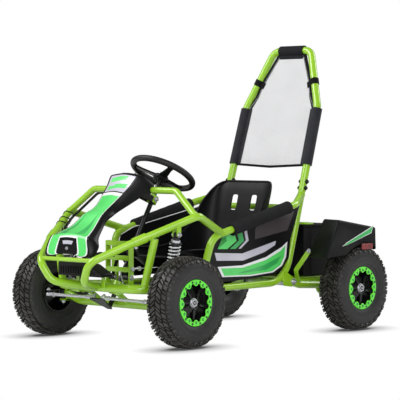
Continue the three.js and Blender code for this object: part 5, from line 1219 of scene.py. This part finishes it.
# Steering
def add_steering():
    wheel = Piece()
    ring = 118 * MM
    wheel.add(torus(wheel_centre, column_up, ring, 12 * MM, 96, 24), grip_rubber)
    hub_top = down_column(9.6 * MM)
    hub_low = down_column(30 * MM)
    hub = [(9.4, 0), (27, 0), (30, 4), (27, 18), (20, 21), (9.4, 21)]
    wheel.add(turned(sized(hub), hub_low, column_up, 40), black_plastic)
    centre = down_column(19 * MM)
    for angle in (90, 210, -30):
        turn = math.radians(angle)
        out = X * math.cos(turn) + column_up.cross(X) * math.sin(turn)
        end = wheel_centre + out * ring
        right = (end - centre).normalized()
        up = column_up.cross(out).normalized()
        reach = (end - centre).length
        edge = [(0, 20), (40, 14), (80, 10), (reach / MM, 13)]
        arm = [(a, -b) for a, b in edge] + edge[::-1]
        wheel.add(plate(centre, right, up, sized(arm), 7 * MM), black_plastic)
    wheel.add(rod(hub_top, wheel_centre + column_up * 1 * MM, 15 * MM, 6), bright_steel)
    wheel.make("steering_wheel_form", "steering", ["steering_wheel"], "grip_rubber", 1.2 * MM)

    column = Piece()
    column.add(rod(column_foot, wheel_centre, column_radius, 24), black_steel)
    outline = [(-11, -6), (11, -6), (34, 58), (37, 70), (30, 78), (-30, 78), (-37, 70), (-34, 58)]
    column.add(plate(column_foot, X, column_ahead, sized(outline), plate_thick), black_steel)
    for side in (1, -1):
        ball = column_foot + column_ahead * pitman_reach * MM + X * side * pitman_half * MM
        column.add(rod(ball, ball + column_up * 17 * MM, 4 * MM), bright_steel)
        bolt(column, ball + column_up * 15 * MM, column_up, 6 * MM)
    column.make("steering_column_form", "steering", ["steering_column"], "black_steel", 0.6 * MM)


def add_tie_rods():
    pin = column_foot + column_ahead * pitman_reach * MM + X * pitman_half * MM
    ball = pin + column_up * (2.5 + running_gap + 6) * MM
    outer = at(steering_arm_half, steering_arm_line, axle_height)
    rod_piece = Piece(bright_steel)
    eye = [(4.6, -6), (8, -6), (10, -4), (10, 4), (8, 6), (4.6, 6)]
    profile = sized(eye)
    rod_piece.add(turned(profile, ball, column_up, 28, closed=True))
    full = [(0.5 * MM, -6 * MM)] + profile[1:5] + [(0.5 * MM, 6 * MM)]
    rod_piece.add(turned(full, outer, Z, 28))
    start = along(ball, outer, 9 * MM)
    end = along(outer, ball, 9 * MM)
    rod_piece.add(rod(start, end, 6 * MM, 20))
    for a, b in ((ball, outer), (outer, ball)):
        rod_piece.add(rod(along(a, b, 9 * MM), along(a, b, 26 * MM), 7.6 * MM, 20))
        rod_piece.add(rod(along(a, b, 26 * MM), along(a, b, 33 * MM), 9.4 * MM, 6))
    make_pair(rod_piece, "tie_rod_form", "tie_rod_{side}", "tie_rod", "bright_steel", 0.4 * MM)


def add_front_axle():
    axle = Piece(frame_paint)
    end = at(268, front_axle, axle_height)
    flat = at(196, front_axle, beam_height)
    axle.add(tube([flip(end), flip(flat), flat, end], 120 * MM, axle_tube_radius * MM))
    pivot = at(trailing_arm_half, trailing_pivot_line, trailing_pivot_height)
    root = at(trailing_arm_half, front_axle, beam_height)
    half = Piece(frame_paint)
    half.add(rod(pivot, root, 10 * MM, tube_sides))
    half.add(weld(pivot, root, 10 * MM, root, flip(root), axle_tube_radius * MM))
    half.add(hub_pipe(pivot, X, trailing_tube_half, 6.4, 12))
    lug = knuckle_half + running_gap
    lug_end = lug + lug_thick
    low, high = kingpin_half - 22 - knuckle_radius, kingpin_half + lug_thick
    for z in (lug, -lug_end):
        low_corner = at(low, front_axle - knuckle_radius, axle_height + z)
        high_corner = at(high, front_axle + knuckle_radius, axle_height + lug_thick + z)
        half.add(block(low_corner, high_corner))
    low_corner = at(low, front_axle - knuckle_radius, axle_height - lug_end)
    high_corner = at(low + lug_thick, front_axle + knuckle_radius, axle_height + lug_end)
    half.add(block(low_corner, high_corner))
    kingpin = at(kingpin_half, front_axle, axle_height)
    half.add(rod(kingpin - Z * 32 * MM, kingpin + Z * 32 * MM, 7 * MM), bright_steel)
    bolt(half, kingpin + Z * lug_end * MM, Z, 8 * MM)
    bolt(half, kingpin - Z * lug_end * MM, -Z, 8 * MM)
    foot = at(front_shock_foot_half, front_shock_line, front_shock_foot_height)
    ears(half, foot, at(260, front_axle, 152), 2.2 * MM)
    merge_both(axle, half)
    axle.make("front_axle_form", "front_axle", ["front_axle"], "frame_paint", 0.6 * MM)


def wheel_nut(piece, place):
    """The axle's nut on its washer, with a black plug in its bore and a small bright ring on the plug."""
    piece.add(rod(place - X * 2 * MM, place, 19 * MM, 28), black_steel)
    piece.add(pipe(place, place + X * 9 * MM, 9 * MM, 15.5 * MM, 6), bright_steel)
    piece.add(pipe(place, place + X * 3 * MM, 9 * MM, 17 * MM, 28), bright_steel)
    piece.add(rod(place, place + X * 10 * MM, 9 * MM, 24), black_steel)
    piece.add(pipe(place + X * 9 * MM, place + X * 11 * MM, 3 * MM, 5 * MM, 20), bright_steel)


def add_knuckles():
    kingpin = at(kingpin_half, front_axle, axle_height)
    knuckle = Piece(black_steel)
    knuckle.add(hub_pipe(kingpin, Z, knuckle_half, 7.4, knuckle_radius))
    outer = at(front_half_track + axle_past_track, front_axle, axle_height)
    knuckle.add(rod(kingpin + X * 11 * MM, outer, 11 * MM, 24), bright_steel)
    knuckle.add(rod(kingpin + X * 12 * MM, at(346, front_axle, axle_height), 18.7 * MM, 24))
    wheel_nut(knuckle, at(387, front_axle, axle_height))
    arm_end = at(steering_arm_half, steering_arm_line, axle_height + 12.7)
    arm_root = Vector((kingpin.x, kingpin.y, arm_end.z))
    right = (arm_end - arm_root).normalized()
    reach = (arm_end - arm_root).length / MM
    edge = [(0, 8.7), (reach, 8), (reach + 6, 5.5)]
    outline = [(a, -b) for a, b in edge] + [(reach + 8, 0)] + edge[::-1]
    knuckle.add(plate(arm_root, right, Z.cross(right), sized(outline), plate_thick))
    bolt(knuckle, arm_end, Z, 6 * MM, 2.5 * MM)
    make_pair(knuckle, "knuckle_form", "knuckle_{side}", "knuckle", "black_steel", 0.6 * MM)


# Wheels: places are an angle round the axle, a distance out from it, and one across the wheel
tyre_profile = [
    (-40, 77), (-44, 84), (-50, 96), (-53, 112), (-52.4, 127), (-49, 140), (-43, 148.5), (-33, 152.5),
    (-18, 154), (0, 154.5), (18, 154), (33, 152.5), (43, 148.5), (49, 140), (52.4, 127), (53, 112), (50, 96),
    (44, 84), (40, 77),
]
tread_pitches = 30
inner_knob_share = 0.3
tread_blocks = [
    ([(0.0, 0.02), (0.46, 0.02), (0.98, 0.23), (0.5, 0.23)], 10.5),
    ([(0.6, 0.03), (0.86, 0.03), (1.3, 0.21), (1.1, 0.21)], 9.5),
    ([(0.22, 0.27), (0.74, 0.27), (1.0, 0.46), (0.5, 0.46)], 10),
    ([(0.88, 0.28), (1.1, 0.28), (1.36, 0.44), (1.14, 0.44)], 9),
    ([(0.44, 0.5), (0.96, 0.5), (0.9, 0.67), (0.5, 0.67)], 5),
    ([(1.1, 0.49), (1.34, 0.49), (1.3, 0.6), (1.12, 0.6)], 4),
]


def wheel_place(hub, turn, radius, across):
    return hub + Vector((across * MM, radius * MM * math.sin(turn), -radius * MM * math.cos(turn)))


def tyre_skin(hub, turn, share, lift):
    """A point on the tyre: share runs from -1 to 1 across the tread and shoulders."""
    middle_index = (len(tyre_profile) - 1) / 2
    place = middle_index + share * 6
    i = int(place)
    rows = tyre_profile
    near = [rows[max(i - 1, 0)], rows[i], rows[min(i + 1, len(rows) - 1)], rows[min(i + 2, len(rows) - 1)]]
    across, radius = curve_between(near, place - i)
    ahead_across, ahead_radius = curve_between(near, place - i + 0.01)
    run = Vector((ahead_across - across, ahead_radius - radius)).normalized()
    return wheel_place(hub, turn, radius + run.x * lift, across - run.y * lift)


def knob(piece, hub, corners, height):
    """A rubber block: four corners as (pitches round, share across), standing on the tyre."""
    pitch = 2 * math.pi / tread_pitches
    middle_turn = sum(c[0] for c in corners) / 4
    middle_share = sum(c[1] for c in corners) / 4
    vertices = []
    for lift, shrink in ((-1.5, 1.04), (height * 0.8, 0.94), (height, 0.84)):
        for turn, share in corners:
            turn = middle_turn + (turn - middle_turn) * shrink
            share = middle_share + (share - middle_share) * shrink
            vertices.append(tyre_skin(hub, turn * pitch, share, lift))
    faces = [(3, 2, 1, 0), (8, 9, 10, 11)]
    for layer in (0, 4):
        for k in range(4):
            following = (k + 1) % 4
            faces.append((layer + k, layer + following, layer + 4 + following, layer + 4 + k))
    # The blocks take the rubber that carries the painted sheen.
    piece.add((vertices, faces), tread_rubber_with_painted_sheen)


def add_tyre(hub, name, body):
    tyre = Piece()
    profile = [(radius * MM, across * MM) for across, radius in smooth(tyre_profile, 3)]
    tyre.add(turned(profile, hub, X, 120, closed=True), tyre_rubber)
    for k in range(tread_pitches):
        for side in (1, -1):
            turn = k + (0.5 if side < 0 else 0)
            inner = side * hub.x < 0
            for corners, height in tread_blocks:
                placed = [(turn + a, side * b) for a, b in corners]
                if side < 0:
                    placed.reverse()
                low = inner and corners[0][1] > 0.4
                knob(tyre, hub, placed, height * (inner_knob_share if low else 1))
    for across, radius in ((51.2, 100), (52.6, 118)):
        for side in (1, -1):
            centre = hub + X * side * across * MM
            tyre.add(torus(centre, X, radius * MM, 1.2 * MM, 96, 6), tyre_rubber)
    return tyre.make(f"{name}_form", body, [name], "tyre_rubber", sharp=35)


ring_lobes = 12


def rim_piece(hub):
    rim = Piece(rim_black)
    dish = [(71, -42), (76, -42), (76, 41), (79, 42), (76, 43.5), (71, 42), (69, 30), (66, 22), (40, 26),
            (30, 33), (12.6, 33), (12.6, 5), (30, 5), (60, 9), (70, 14)]
    rim.add(turned(sized(dish), hub, X, 72, closed=True))
    for k in range(5):
        turn = 2 * math.pi * k / 5
        inner = wheel_place(hub, turn, 26, 34)
        outer = wheel_place(hub, turn, 68, 27)
        between = inner.lerp(outer, 0.5) + X * 2 * MM
        rim.add(sweep([inner, between, outer], lambda i: (7 - i) * MM, 12))
    for k in range(4):
        turn = 2 * math.pi * (k + 0.5) / 4
        place = wheel_place(hub, turn, 23, 33)
        rim.add(rod(place, place + X * 4 * MM, 4 * MM, 6))
    return rim


def ring_piece(hub):
    """Bead-lock ring with a scalloped inner edge and its bolts."""
    ring = Piece()
    steps = ring_lobes * 12
    outer = 83
    rows = []
    for k in range(steps):
        turn = 2 * math.pi * k / steps
        wave = math.cos(ring_lobes * turn)
        inner = outer - 18 - 5 * math.copysign(abs(wave) ** 0.6, wave)
        section = [(inner, 42.4), (outer - 1, 42.4), (outer, 43.4), (outer, 45.6), (outer - 1.4, 46.9),
                   (inner + 1.4, 46.9), (inner, 45.6)]
        rows.append([wheel_place(hub, turn, r, h) for r, h in section])
    vertices = [p for row in rows for p in row]
    width = len(rows[0])
    faces = []
    for k in range(steps):
        here = k * width
        there = ((k + 1) % steps) * width
        for c in range(width):
            following = (c + 1) % width
            faces.append((here + c, there + c, there + following, here + following))
    ring.add((vertices, faces), ring_paint)
    for k in range(ring_lobes):
        turn = 2 * math.pi * (k + 0.5) / ring_lobes
        place = wheel_place(hub, turn, 76, 46.7)
        ring.add(rod(place, place + X * 0.5 * MM, 4.4 * MM, 16), rim_black)
        turn = 2 * math.pi * k / ring_lobes
        place = wheel_place(hub, turn, 70, 46.7)
        ring.add(rod(place, place + X * 0.4 * MM, 5 * MM, 16), rim_black)
        ring.add(rod(place, place + X * 2.4 * MM, 3.4 * MM, 6), deep_green_film)
    return ring


def add_wheels():
    for end, hub in (("front", front_hub), ("rear", rear_hub)):
        hub = Vector((at(front_half_track if end == "front" else rear_half_track, 0, 0).x, hub.y, hub.z))
        rim = rim_piece(hub)
        ring = ring_piece(hub)
        for side in ("left", "right"):
            body = f"front_wheel_{side}" if end == "front" else "rear_wheels"
            near = hub if side == "left" else flip(hub)
            add_tyre(near, f"{end}_tyre_{side}", body)
            rim_side = rim if side == "left" else rim.flipped()
            ring_side = ring if side == "left" else ring.flipped()
            rim_side.make(f"{end}_rim_{side}_form", body, [f"{end}_rim_{side}"], "rim_black", 0.5 * MM)
            ring_side.make(f"{end}_bead_ring_{side}_form", body, [f"{end}_bead_ring_{side}"], "ring_paint")


# Coil-over shocks
coil_radius = 19.2
coil_wire = 2.7
coil_curls = 10
coil_steps = 20
coil_seat_share = 0.14


def add_shock(name, top, foot, body, rod_body, side=1):
    length = (foot - top).length
    axis = (foot - top).normalized()
    upper, lower = Piece(), Piece()
    upper.add(hub_pipe(top, X, 8, 4.4, 10), motor_alloy)
    upper.add(rod(along(top, foot, 9 * MM), along(top, foot, length * 0.6), 11 * MM, 24), motor_alloy)
    seat = length * coil_seat_share
    disc = [(11, 0), (20, 0), (24, 1.6), (24, 4), (11, 4)]
    profile = sized(disc)
    upper.add(turned(profile, along(top, foot, seat), axis, 36, closed=True), black_steel)
    collar = along(top, foot, seat - 9 * MM)
    upper.add(rod(collar, along(top, foot, seat), 17 * MM, 12), bright_steel)
    lower.add(hub_pipe(foot, X, 5, 7.4, 10.6), bright_steel)
    lower.add(rod(along(foot, top, 8 * MM), along(foot, top, length * 0.62), 5.5 * MM, 20), bright_steel)
    lower.add(turned([(5.4 * MM, b) if a == 11 * MM else (a, b) for a, b in profile],
                     along(foot, top, seat), -axis, 36, closed=True), black_steel)
    normal = axis.orthogonal().normalized()
    other = axis.cross(normal)
    start = seat + 4 * MM + 3.1 * MM
    climb = length - 2 * start
    line = []
    for k in range(coil_curls * coil_steps + 1):
        share = k / (coil_curls * coil_steps)
        turn = 2 * math.pi * k / coil_steps
        line.append(top + axis * (start + climb * share)
                    + (normal * math.cos(turn) + other * math.sin(turn)) * coil_radius * MM)
    coil = Piece().add(sweep(line, coil_wire * MM, 10), spring_steel)
    anchor = along(top, foot, seat + 4 * MM)
    if side < 0:
        upper, lower, coil = upper.flipped(), lower.flipped(), coil.flipped()
        axis, anchor = Vector((-axis.x, axis.y, axis.z)), flip(anchor)
    upper.make(f"{name}_cylinder", body, [f"{name}_body"], "black_steel", 0.4 * MM)
    lower.make(f"{name}_shaft", rod_body, [f"{name}_rod"], "bright_steel", 0.4 * MM)
    spring = coil.make(f"{name}_coil", body, [f"{name}_spring"], "spring_steel", sharp=60)
    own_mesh(spring)
    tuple(axis)
    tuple(anchor)


def add_shocks():
    carrier = at_y(hood_front, hood_rear, at(0, front_shock_line, 0).y)
    top = shock_top_of(carrier)
    foot = at(front_shock_foot_half, front_shock_line, front_shock_foot_height)
    for name, side in (("left", 1), ("right", -1)):
        add_shock(f"front_shock_{name}", top, foot, f"front_shock_{name}", f"front_shock_{name}_rod",
                  side)
    rear_y = at_z(kick, socket, at(0, 0, rear_cross_height).z).y
    top = Vector((0, rear_y, rear_shock_top_height * MM))
    foot = at(0, rear_shock_line, rear_shock_foot_height)
    add_shock("rear_shock", top, foot, "rear_shock", "rear_shock_rod")


# Rear end
def add_swing_arm():
    arm = Piece(frame_paint)
    pivot = at(swing_arm_half, swing_pivot_line, rail_height)
    bend = at(swing_arm_half, rear_axle - 139, rail_height - 15)
    tail = at(swing_arm_half, rear_axle + 34, axle_height)
    tube_end = at_y(bend, tail, at(0, rear_axle - 27, 0).y)
    arm.both(tube([pivot, bend, tube_end], 36 * MM, axle_tube_radius * MM))
    arm.add(rod(flip(tail), tail, axle_tube_radius * MM, tube_sides))
    deck_low = at(-swing_arm_half, rear_axle - 152, 196.7)
    deck_high = at(swing_arm_half, rear_axle + 28, 201.7)
    arm.add(block(deck_low, deck_high))
    half = Piece(frame_paint)
    half.add(hub_pipe(pivot, X, 15, 6.4, 16.5))
    axle = at(swing_arm_half, rear_axle, axle_height)
    half.add(hub_pipe(axle, X, 5, 12.4, 34, 40))
    half.add(hub_pipe(axle, X, 9, 12.4, 22, 32), motor_alloy)
    for start, end, low in ((-152, -13, 165), (-13, 13, 178), (13, 28, 165)):
        corner = at(198, rear_axle + start, low)
        half.add(block(corner, at(swing_arm_half, rear_axle + end, 200)))
    foot = at(218, rear_axle - 163, rail_height)
    knee = foot + Vector((21 * MM, -39 * MM, 45 * MM))
    head = fender_bolt()
    section = strip_section(-9, 9, 2.5)
    half.add(sweep(bent([foot, knee, head], 18 * MM), 0, section=section, first=X))
    bolt(half, head, Vector((0.1, -1, 0.2)), 6.5 * MM, 2 * MM)
    merge_both(arm, half)
    ears(arm, at(0, rear_shock_line, rear_shock_foot_height), at(0, rear_shock_line, 199), running_gap * MM)
    arm.make("swing_arm_form", "swing_arm", ["swing_arm"], "frame_paint", 0.6 * MM)


fender_front = rear_axle - 154
fender_rear = rear_axle + 77
fender_half = 415
fender_inner = 307
fender_slope = 78
fender_step = 41
fender_low = 291
fender_top = 436
fender_rear_low = 312
fender_rear_top = 400
fender_corners = {
    "front_inner_low": at(288, fender_front + fender_step - fender_slope, fender_low),
    "front_inner_top": at(fender_inner, fender_front + fender_step, fender_top),
    "front_outer_low": at(fender_half, fender_front - fender_slope, fender_low),
    "front_outer_top": at(fender_half, fender_front, fender_top),
    "rear_inner_low": at(fender_inner, fender_rear, fender_rear_low),
    "rear_inner_top": at(fender_inner, fender_rear, fender_rear_top),
    "rear_outer_low": at(fender_half, fender_rear, fender_rear_low),
    "rear_outer_top": at(fender_half, fender_rear, fender_rear_top),
}


def fender_bolt():
    c = fender_corners
    up = (c["front_inner_top"] - c["front_inner_low"]).normalized()
    out = (c["front_outer_low"] - c["front_inner_low"]).normalized()
    wall = c["front_inner_low"].lerp(c["front_inner_top"], 0.12)
    return wall + out * 12 * MM + out.cross(up).normalized() * 10.2 * MM


def fender_piece():
    """Four walls over the wheel, with the arch cut out of the outer one and round edges between them."""
    c = fender_corners
    mesh = bmesh.new()
    outer = [c["front_outer_low"], c["front_outer_top"], c["rear_outer_top"], c["rear_outer_low"]]
    centre = at(fender_half, rear_axle, axle_height)
    radius = 173 * MM
    arch = []
    for k in range(40):
        turn = math.pi * k / 39
        point = centre + Vector((0, radius * math.cos(turn), radius * math.sin(turn)))
        lowest = (fender_low if point.y < centre.y else fender_rear_low) * MM
        if point.z > lowest and fender_rear * MM + mid_y > point.y > outer[0].y:
            arch.append(point)
    points = {name: mesh.verts.new(place) for name, place in c.items()}
    arch_verts = [mesh.verts.new(p) for p in arch]
    walls = [
        (Z, ["front_inner_top", "front_outer_top", "rear_outer_top", "rear_inner_top"]),
        (-Y, ["front_inner_low", "front_outer_low", "front_outer_top", "front_inner_top"]),
        (Y, ["rear_outer_low", "rear_inner_low", "rear_inner_top", "rear_outer_top"]),
        (X, ["front_outer_low", "rear_outer_low", "rear_outer_top", "front_outer_top"]),
    ]
    for direction, names in walls:
        corners = [points[name] for name in names]
        if direction == X:
            corners[1:1] = reversed(arch_verts)
        face = mesh.faces.new(corners)
        face.normal_update()
        if face.normal.dot(direction) < 0:
            face.normal_flip()
    shared = [edge for edge in mesh.edges if len(edge.link_faces) == 2]
    bmesh.ops.bevel(mesh, geom=shared, offset=9 * MM, segments=5, profile=0.5, affect="EDGES")
    mesh.normal_update()
    mesh.verts.index_update()
    vertices = [v.co.copy() for v in mesh.verts]
    faces = [tuple(v.index for v in face.verts) for face in mesh.faces]
    mesh.free()
    return Piece().add((vertices, faces), fender_plastic)


def fender_place(u, v, lift):
    """A place on the fender's outer wall: shares of its length from the front and of its height."""
    y = fender_front - fender_slope + u * (fender_rear - fender_front + fender_slope)
    z = fender_low + v * (fender_top - fender_low)
    return at(fender_half, y, z) + X * lift


def far_fender_place(u, v, lift):
    return flip(fender_place(u, v, lift))


def add_fenders():
    fender = fender_piece()
    stripes = [
        ("white", white_film, 0.2, [(0.32, 0.29), (0.4, 0.38), (0.86, 0.735), (0.94, 0.81), (0.9, 0.6),
                                    (0.42, 0.32)]),
        ("green", deep_green_film, 0.4, [(0.335, 0.295), (0.41, 0.37), (0.86, 0.715), (0.93, 0.78),
                                         (0.89, 0.61), (0.43, 0.33)]),
    ]
    for side, item in (("left", fender), ("right", fender.flipped())):
        made = item.make(f"fender_{side}_shell", "swing_arm", [f"fender_{side}"], "black_plastic", sharp=40)
        wall = made.modifiers.new("wall", "SOLIDIFY")
        wall.thickness = 4 * MM
        wall.offset = -1
        place = fender_place if side == "left" else far_fender_place
        for name, material, lift, outline in stripes:
            film(f"fender_{side}_stripe_{name}", outline, place, lift * MM, (0.1, 0.2), material, "swing_arm")
        lens = Piece()
        low = at(fender_half - 0.5, rear_axle - 15, 316)
        high = at(fender_half + 2.5, rear_axle + 52, 338)
        lens.add(block(low, high), red_lens)
        for k in range(5):
            rib = low + Y * (8 + 12 * k) * MM
            lens.add(rod(rib + X * 3 * MM + Z * 2 * MM, rib + X * 3 * MM + Z * 20 * MM, 1 * MM, 8), red_lens)
        if side == "right":
            lens = lens.flipped()
        lens.make(f"fender_{side}_reflector", "swing_arm", slot="black_plastic", bevel=1 * MM)


box_front = rear_axle - 57
box_length = 170
box_half = 178
box_front_half = 156
case_foot = 202
case_height = 194
lid_foot = case_foot + case_height
lid_height = 10


def add_battery_box():
    front = box_front
    rear = front + box_length
    # The case is in the black plastic darkened with painted shade.
    box = Piece(shade_painted_box_plastic)

    def outline(grow):
        half = box_half + grow
        corner = front + box_half - box_front_half - grow
        points = [(half, rear + grow), (-half, rear + grow), (-half, corner), (-box_front_half, front - grow),
                  (box_front_half, front - grow), (half, corner)]
        return [(x * MM, y * MM + mid_y) for x, y in points]

    levels = [
        (case_foot + case_height / 2, 0, case_height, shade_painted_box_plastic),
        (lid_foot + lid_height / 2, 2, lid_height, shade_painted_box_plastic),
        (lid_foot - 5, -1.5, 4, rim_black),
    ]
    for height, grow, thick, material in levels:
        box.add(plate(Vector((0, 0, height * MM)), X, Y, outline(grow), thick * MM), material)
    for k in range(5):
        x = (-120 + 60 * k) * MM
        rib = Vector((x, front * MM + mid_y - 0.6 * MM, 0))
        box.add(rod(rib + Z * 215 * MM, rib + Z * 380 * MM, 1.6 * MM, 10))
    box.make("battery_box_case", "swing_arm", ["battery_box"], "black_plastic", 3 * MM)
    latch = Piece(shade_painted_box_plastic)
    low = at(89, front + 34, 405)
    latch.add(block(low, at(160, front + 58, 411)), frame_paint)
    latch.add(block(at(112, front + 36, 409), at(140, front + 56, 414)), frame_paint)
    latch.make("battery_box_latch", "swing_arm", slot="frame_paint", bevel=1.5 * MM)


def add_rear_axle():
    axle = Piece(bright_steel)
    end = at(rear_half_track + axle_past_track, rear_axle, axle_height)
    axle.add(rod(flip(end), end, 12 * MM, 28))
    half = Piece(bright_steel)
    spacer = rod(at(218.4, rear_axle, axle_height), at(357, rear_axle, axle_height), 19.2 * MM, 28)
    half.add(spacer, black_steel)
    wheel_nut(half, at(396, rear_axle, axle_height))
    merge_both(axle, half)
    disc = at(250, rear_axle, axle_height)
    axle.add(hub_pipe(disc, X, 1.5, 30, 58, 64))
    axle.add(hub_pipe(disc, X, 3, 12, 34, 40), black_steel)
    centre = at(-250, rear_axle, axle_height)
    teeth = 20
    root, tip = 45.5, 49
    outline = []
    for k in range(teeth):
        for share, radius in ((-0.3, root), (-0.12, tip), (0.12, tip), (0.3, root)):
            turn = 2 * math.pi * (k + share) / teeth
            outline.append((radius * MM * math.cos(turn), radius * MM * math.sin(turn)))
    axle.add(plate(centre, Y, Z, outline, 3 * MM))
    axle.add(hub_pipe(centre, X, 5, 12, 28, 40), black_steel)
    axle.make("rear_axle_form", "rear_wheels", ["rear_axle"], "bright_steel", 0.4 * MM)


def add_pedal_bracket():
    bracket = Piece(frame_paint)
    y = front_axle + 14
    wall, depth, foot, top, pin_height = 60, 12, 193, 371, 236
    half = Piece(frame_paint)
    half.add(block(at(wall - 2.5, y - depth, foot), at(wall + 2.5, y + depth, top)))
    pin = at(wall, y, pin_height)
    half.add(rod(at(20, y, pin_height), pin, 6 * MM), bright_steel)
    bolt(half, pin, X, 7 * MM, 2.5 * MM)
    merge_both(bracket, half)
    for share in (0.9, 0.6, 0.36):
        z = foot + (top - foot) * share
        bracket.add(block(at(-wall, y - depth, z), at(wall, y - 7, z + 18)))
    cross_y = at(0, y + 22, 0).y
    point = at_y(loop_corner, rail_dip, cross_y)
    distance = (wheel_centre.z - point.z) / math.cos(column_lean) - column_radius
    ring = down_column(distance)
    bracket.both(rod(Vector((16 * MM, point.y, point.z)), point, dash_radius, tube_sides))
    bracket.add(hub_pipe(ring, column_up, 9, 10.6, 21.6))
    bracket.make("pedal_bracket_form", "frame", ["pedal_bracket"], "frame_paint", 1 * MM)


def add_controller():
    """The controller's ribbed housing behind the bumper, on its legs, with its plugs."""
    y = front_axle - 146
    box = Piece(black_plastic)
    outline = [(-128, 249), (-128, 292), (-121, 299), (2, 299), (36, 291), (98, 260), (98, 249)]
    box.add(plate(at(0, y, 0), X, Z, sized(outline), 58 * MM))
    for k in range(14):
        x = -116 + 13 * k
        top = 292 if x < 20 else 287 - (x - 20) * 0.46
        box.add(block(at(x, y - 32, 256), at(x + 5, y - 28, top - 8)))
    for x in (-66, 66):
        box.add(block(at(x - 8, y + 11, 206), at(x + 8, y + 16, 250)), frame_paint)
    for k in range(3):
        plug = at(-84 + 46 * k, y + 10, 299)
        room = X * 14 * MM + Y * 10 * MM
        box.add(block(plug - room, plug + room + Z * 13 * MM), rim_black)
        run = [Z * 12, Vector((6, 30, 34)), Vector((30, 88, 20))]
        lead = bent([plug + step * MM for step in run], 24 * MM)
        box.add(sweep(lead, 4 * MM, 12), cable_rubber)
    box.make("controller_housing", "frame", ["controller_box"], "black_plastic", 1.5 * MM)


def add_brake_rod():
    """The brake's clevis on its pedal side, and its thin inner wire going back."""
    brake = Piece(bright_steel)
    front = at(66, front_axle + 16, 269)
    back = at(66, front_axle + 50, 269)
    for place in (front, back):
        brake.add(hub_pipe(place, X, 4, 3.6, 8.4, 20))
        brake.add(rod(place - X * 6 * MM, place + X * 6 * MM, 3.5 * MM))
    brake.add(rod(front, back, 4 * MM))
    wire_end = at(66, front_axle + 330, 268)
    brake.add(rod(back, wire_end, 1.6 * MM))
    brake.add(rod(at(48, front_axle - 32, 264), at(56, front_axle - 22, 216), 2.6 * MM))
    brake.make("brake_clevis", "frame", slot="bright_steel")


def add_cable():
    inset = (12.5 + 4.5 + 0.3) * MM
    under = Vector((0, 1, -1.4)).normalized()
    inward = Vector((-1, 1, -1.4)).normalized()
    beside = Vector((-1, 0.8, -0.3)).normalized()
    hood_inset = (14 + 3.4 + 4.5 + 1.4) * MM
    bar = Vector((0, dash_corner.y, dash_corner.z))
    path = [
        bar.lerp(dash_corner, 0.3) + under * inset,
        dash_corner + inward * (inset * 1.2),
        dash_corner.lerp(dash_foot, 0.8) + inward * hood_inset,
        hood_front.lerp(hood_rear, 0.82) + beside * hood_inset,
        hood_front.lerp(hood_rear, 0.43) + beside * hood_inset,
    ]
    path = [flip(p) for p in path]
    line = bent(path, 40 * MM)
    loom = Piece().add(sweep(line, 5.2 * MM, 16), cable_rubber)
    for share in (0.5, 0.66, 0.86):
        loom.add(tie(share), cable_rubber)
    loom.make("wiring_loom", "frame", ["wiring_cable"], "cable_rubber", sharp=60)


def tie(share):
    """A cable tie round the right hood rail and the loom beside it."""
    rail = hood_rear - hood_front
    centre = flip(hood_front.lerp(hood_rear, share))
    axis = Vector((-rail.x, rail.y, rail.z)).normalized()
    away = flip(Vector((-1, 0.8, -0.3)).normalized())
    away = (away - axis * away.dot(axis)).normalized()
    side = axis.cross(away)
    points = []
    for k in range(32):
        turn = 2 * math.pi * k / 32
        reach = 15.4 * MM + 12.5 * MM * max(0, math.cos(turn)) ** 2.5
        points.append(centre + (away * math.cos(turn) + side * math.sin(turn)) * reach)
    section = strip_section(-0.9, 0.9, 2.4)
    return sweep(points, 0, closed=True, section=section, first=away)


def dress_nodes():
    """Rigid nodes that keep their own solid get their finish and smooth shading."""
    finishes = {
        "floor_pan": black_steel,
        "brake_pedal": black_steel,
        "throttle_pedal": black_steel,
        "motor": motor_alloy,
        "motor_sprocket": bright_steel,
        "drive_chain": motor_alloy,
    }
    for name, material in finishes.items():
        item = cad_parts[name]
        item.data.materials.clear()
        item.data.materials.append(material)
        item.data.shade_smooth()
        item.data.set_sharp_from_angle(angle=math.radians(40))


bpy.context.scene.view_settings.view_transform = "Standard"
add_camera()
add_world()
add_floor()
for lamp_name, (lamp_place, lamp_width, lamp_power) in lamps.items():
    add_lamp(lamp_name, lamp_place, lamp_width, lamp_power)
add_lower_frame()
add_upper_frame()
add_dash()
add_rear_cross()
add_roll_bar()
add_net()
add_pads()
add_fairing()
add_seat()
add_panels()
add_steering()
add_tie_rods()
add_front_axle()
add_knuckles()
add_wheels()
add_shocks()
add_swing_arm()
add_fenders()
add_battery_box()
add_rear_axle()
add_pedal_bracket()
add_controller()
add_brake_rod()
add_cable()
dress_nodes()
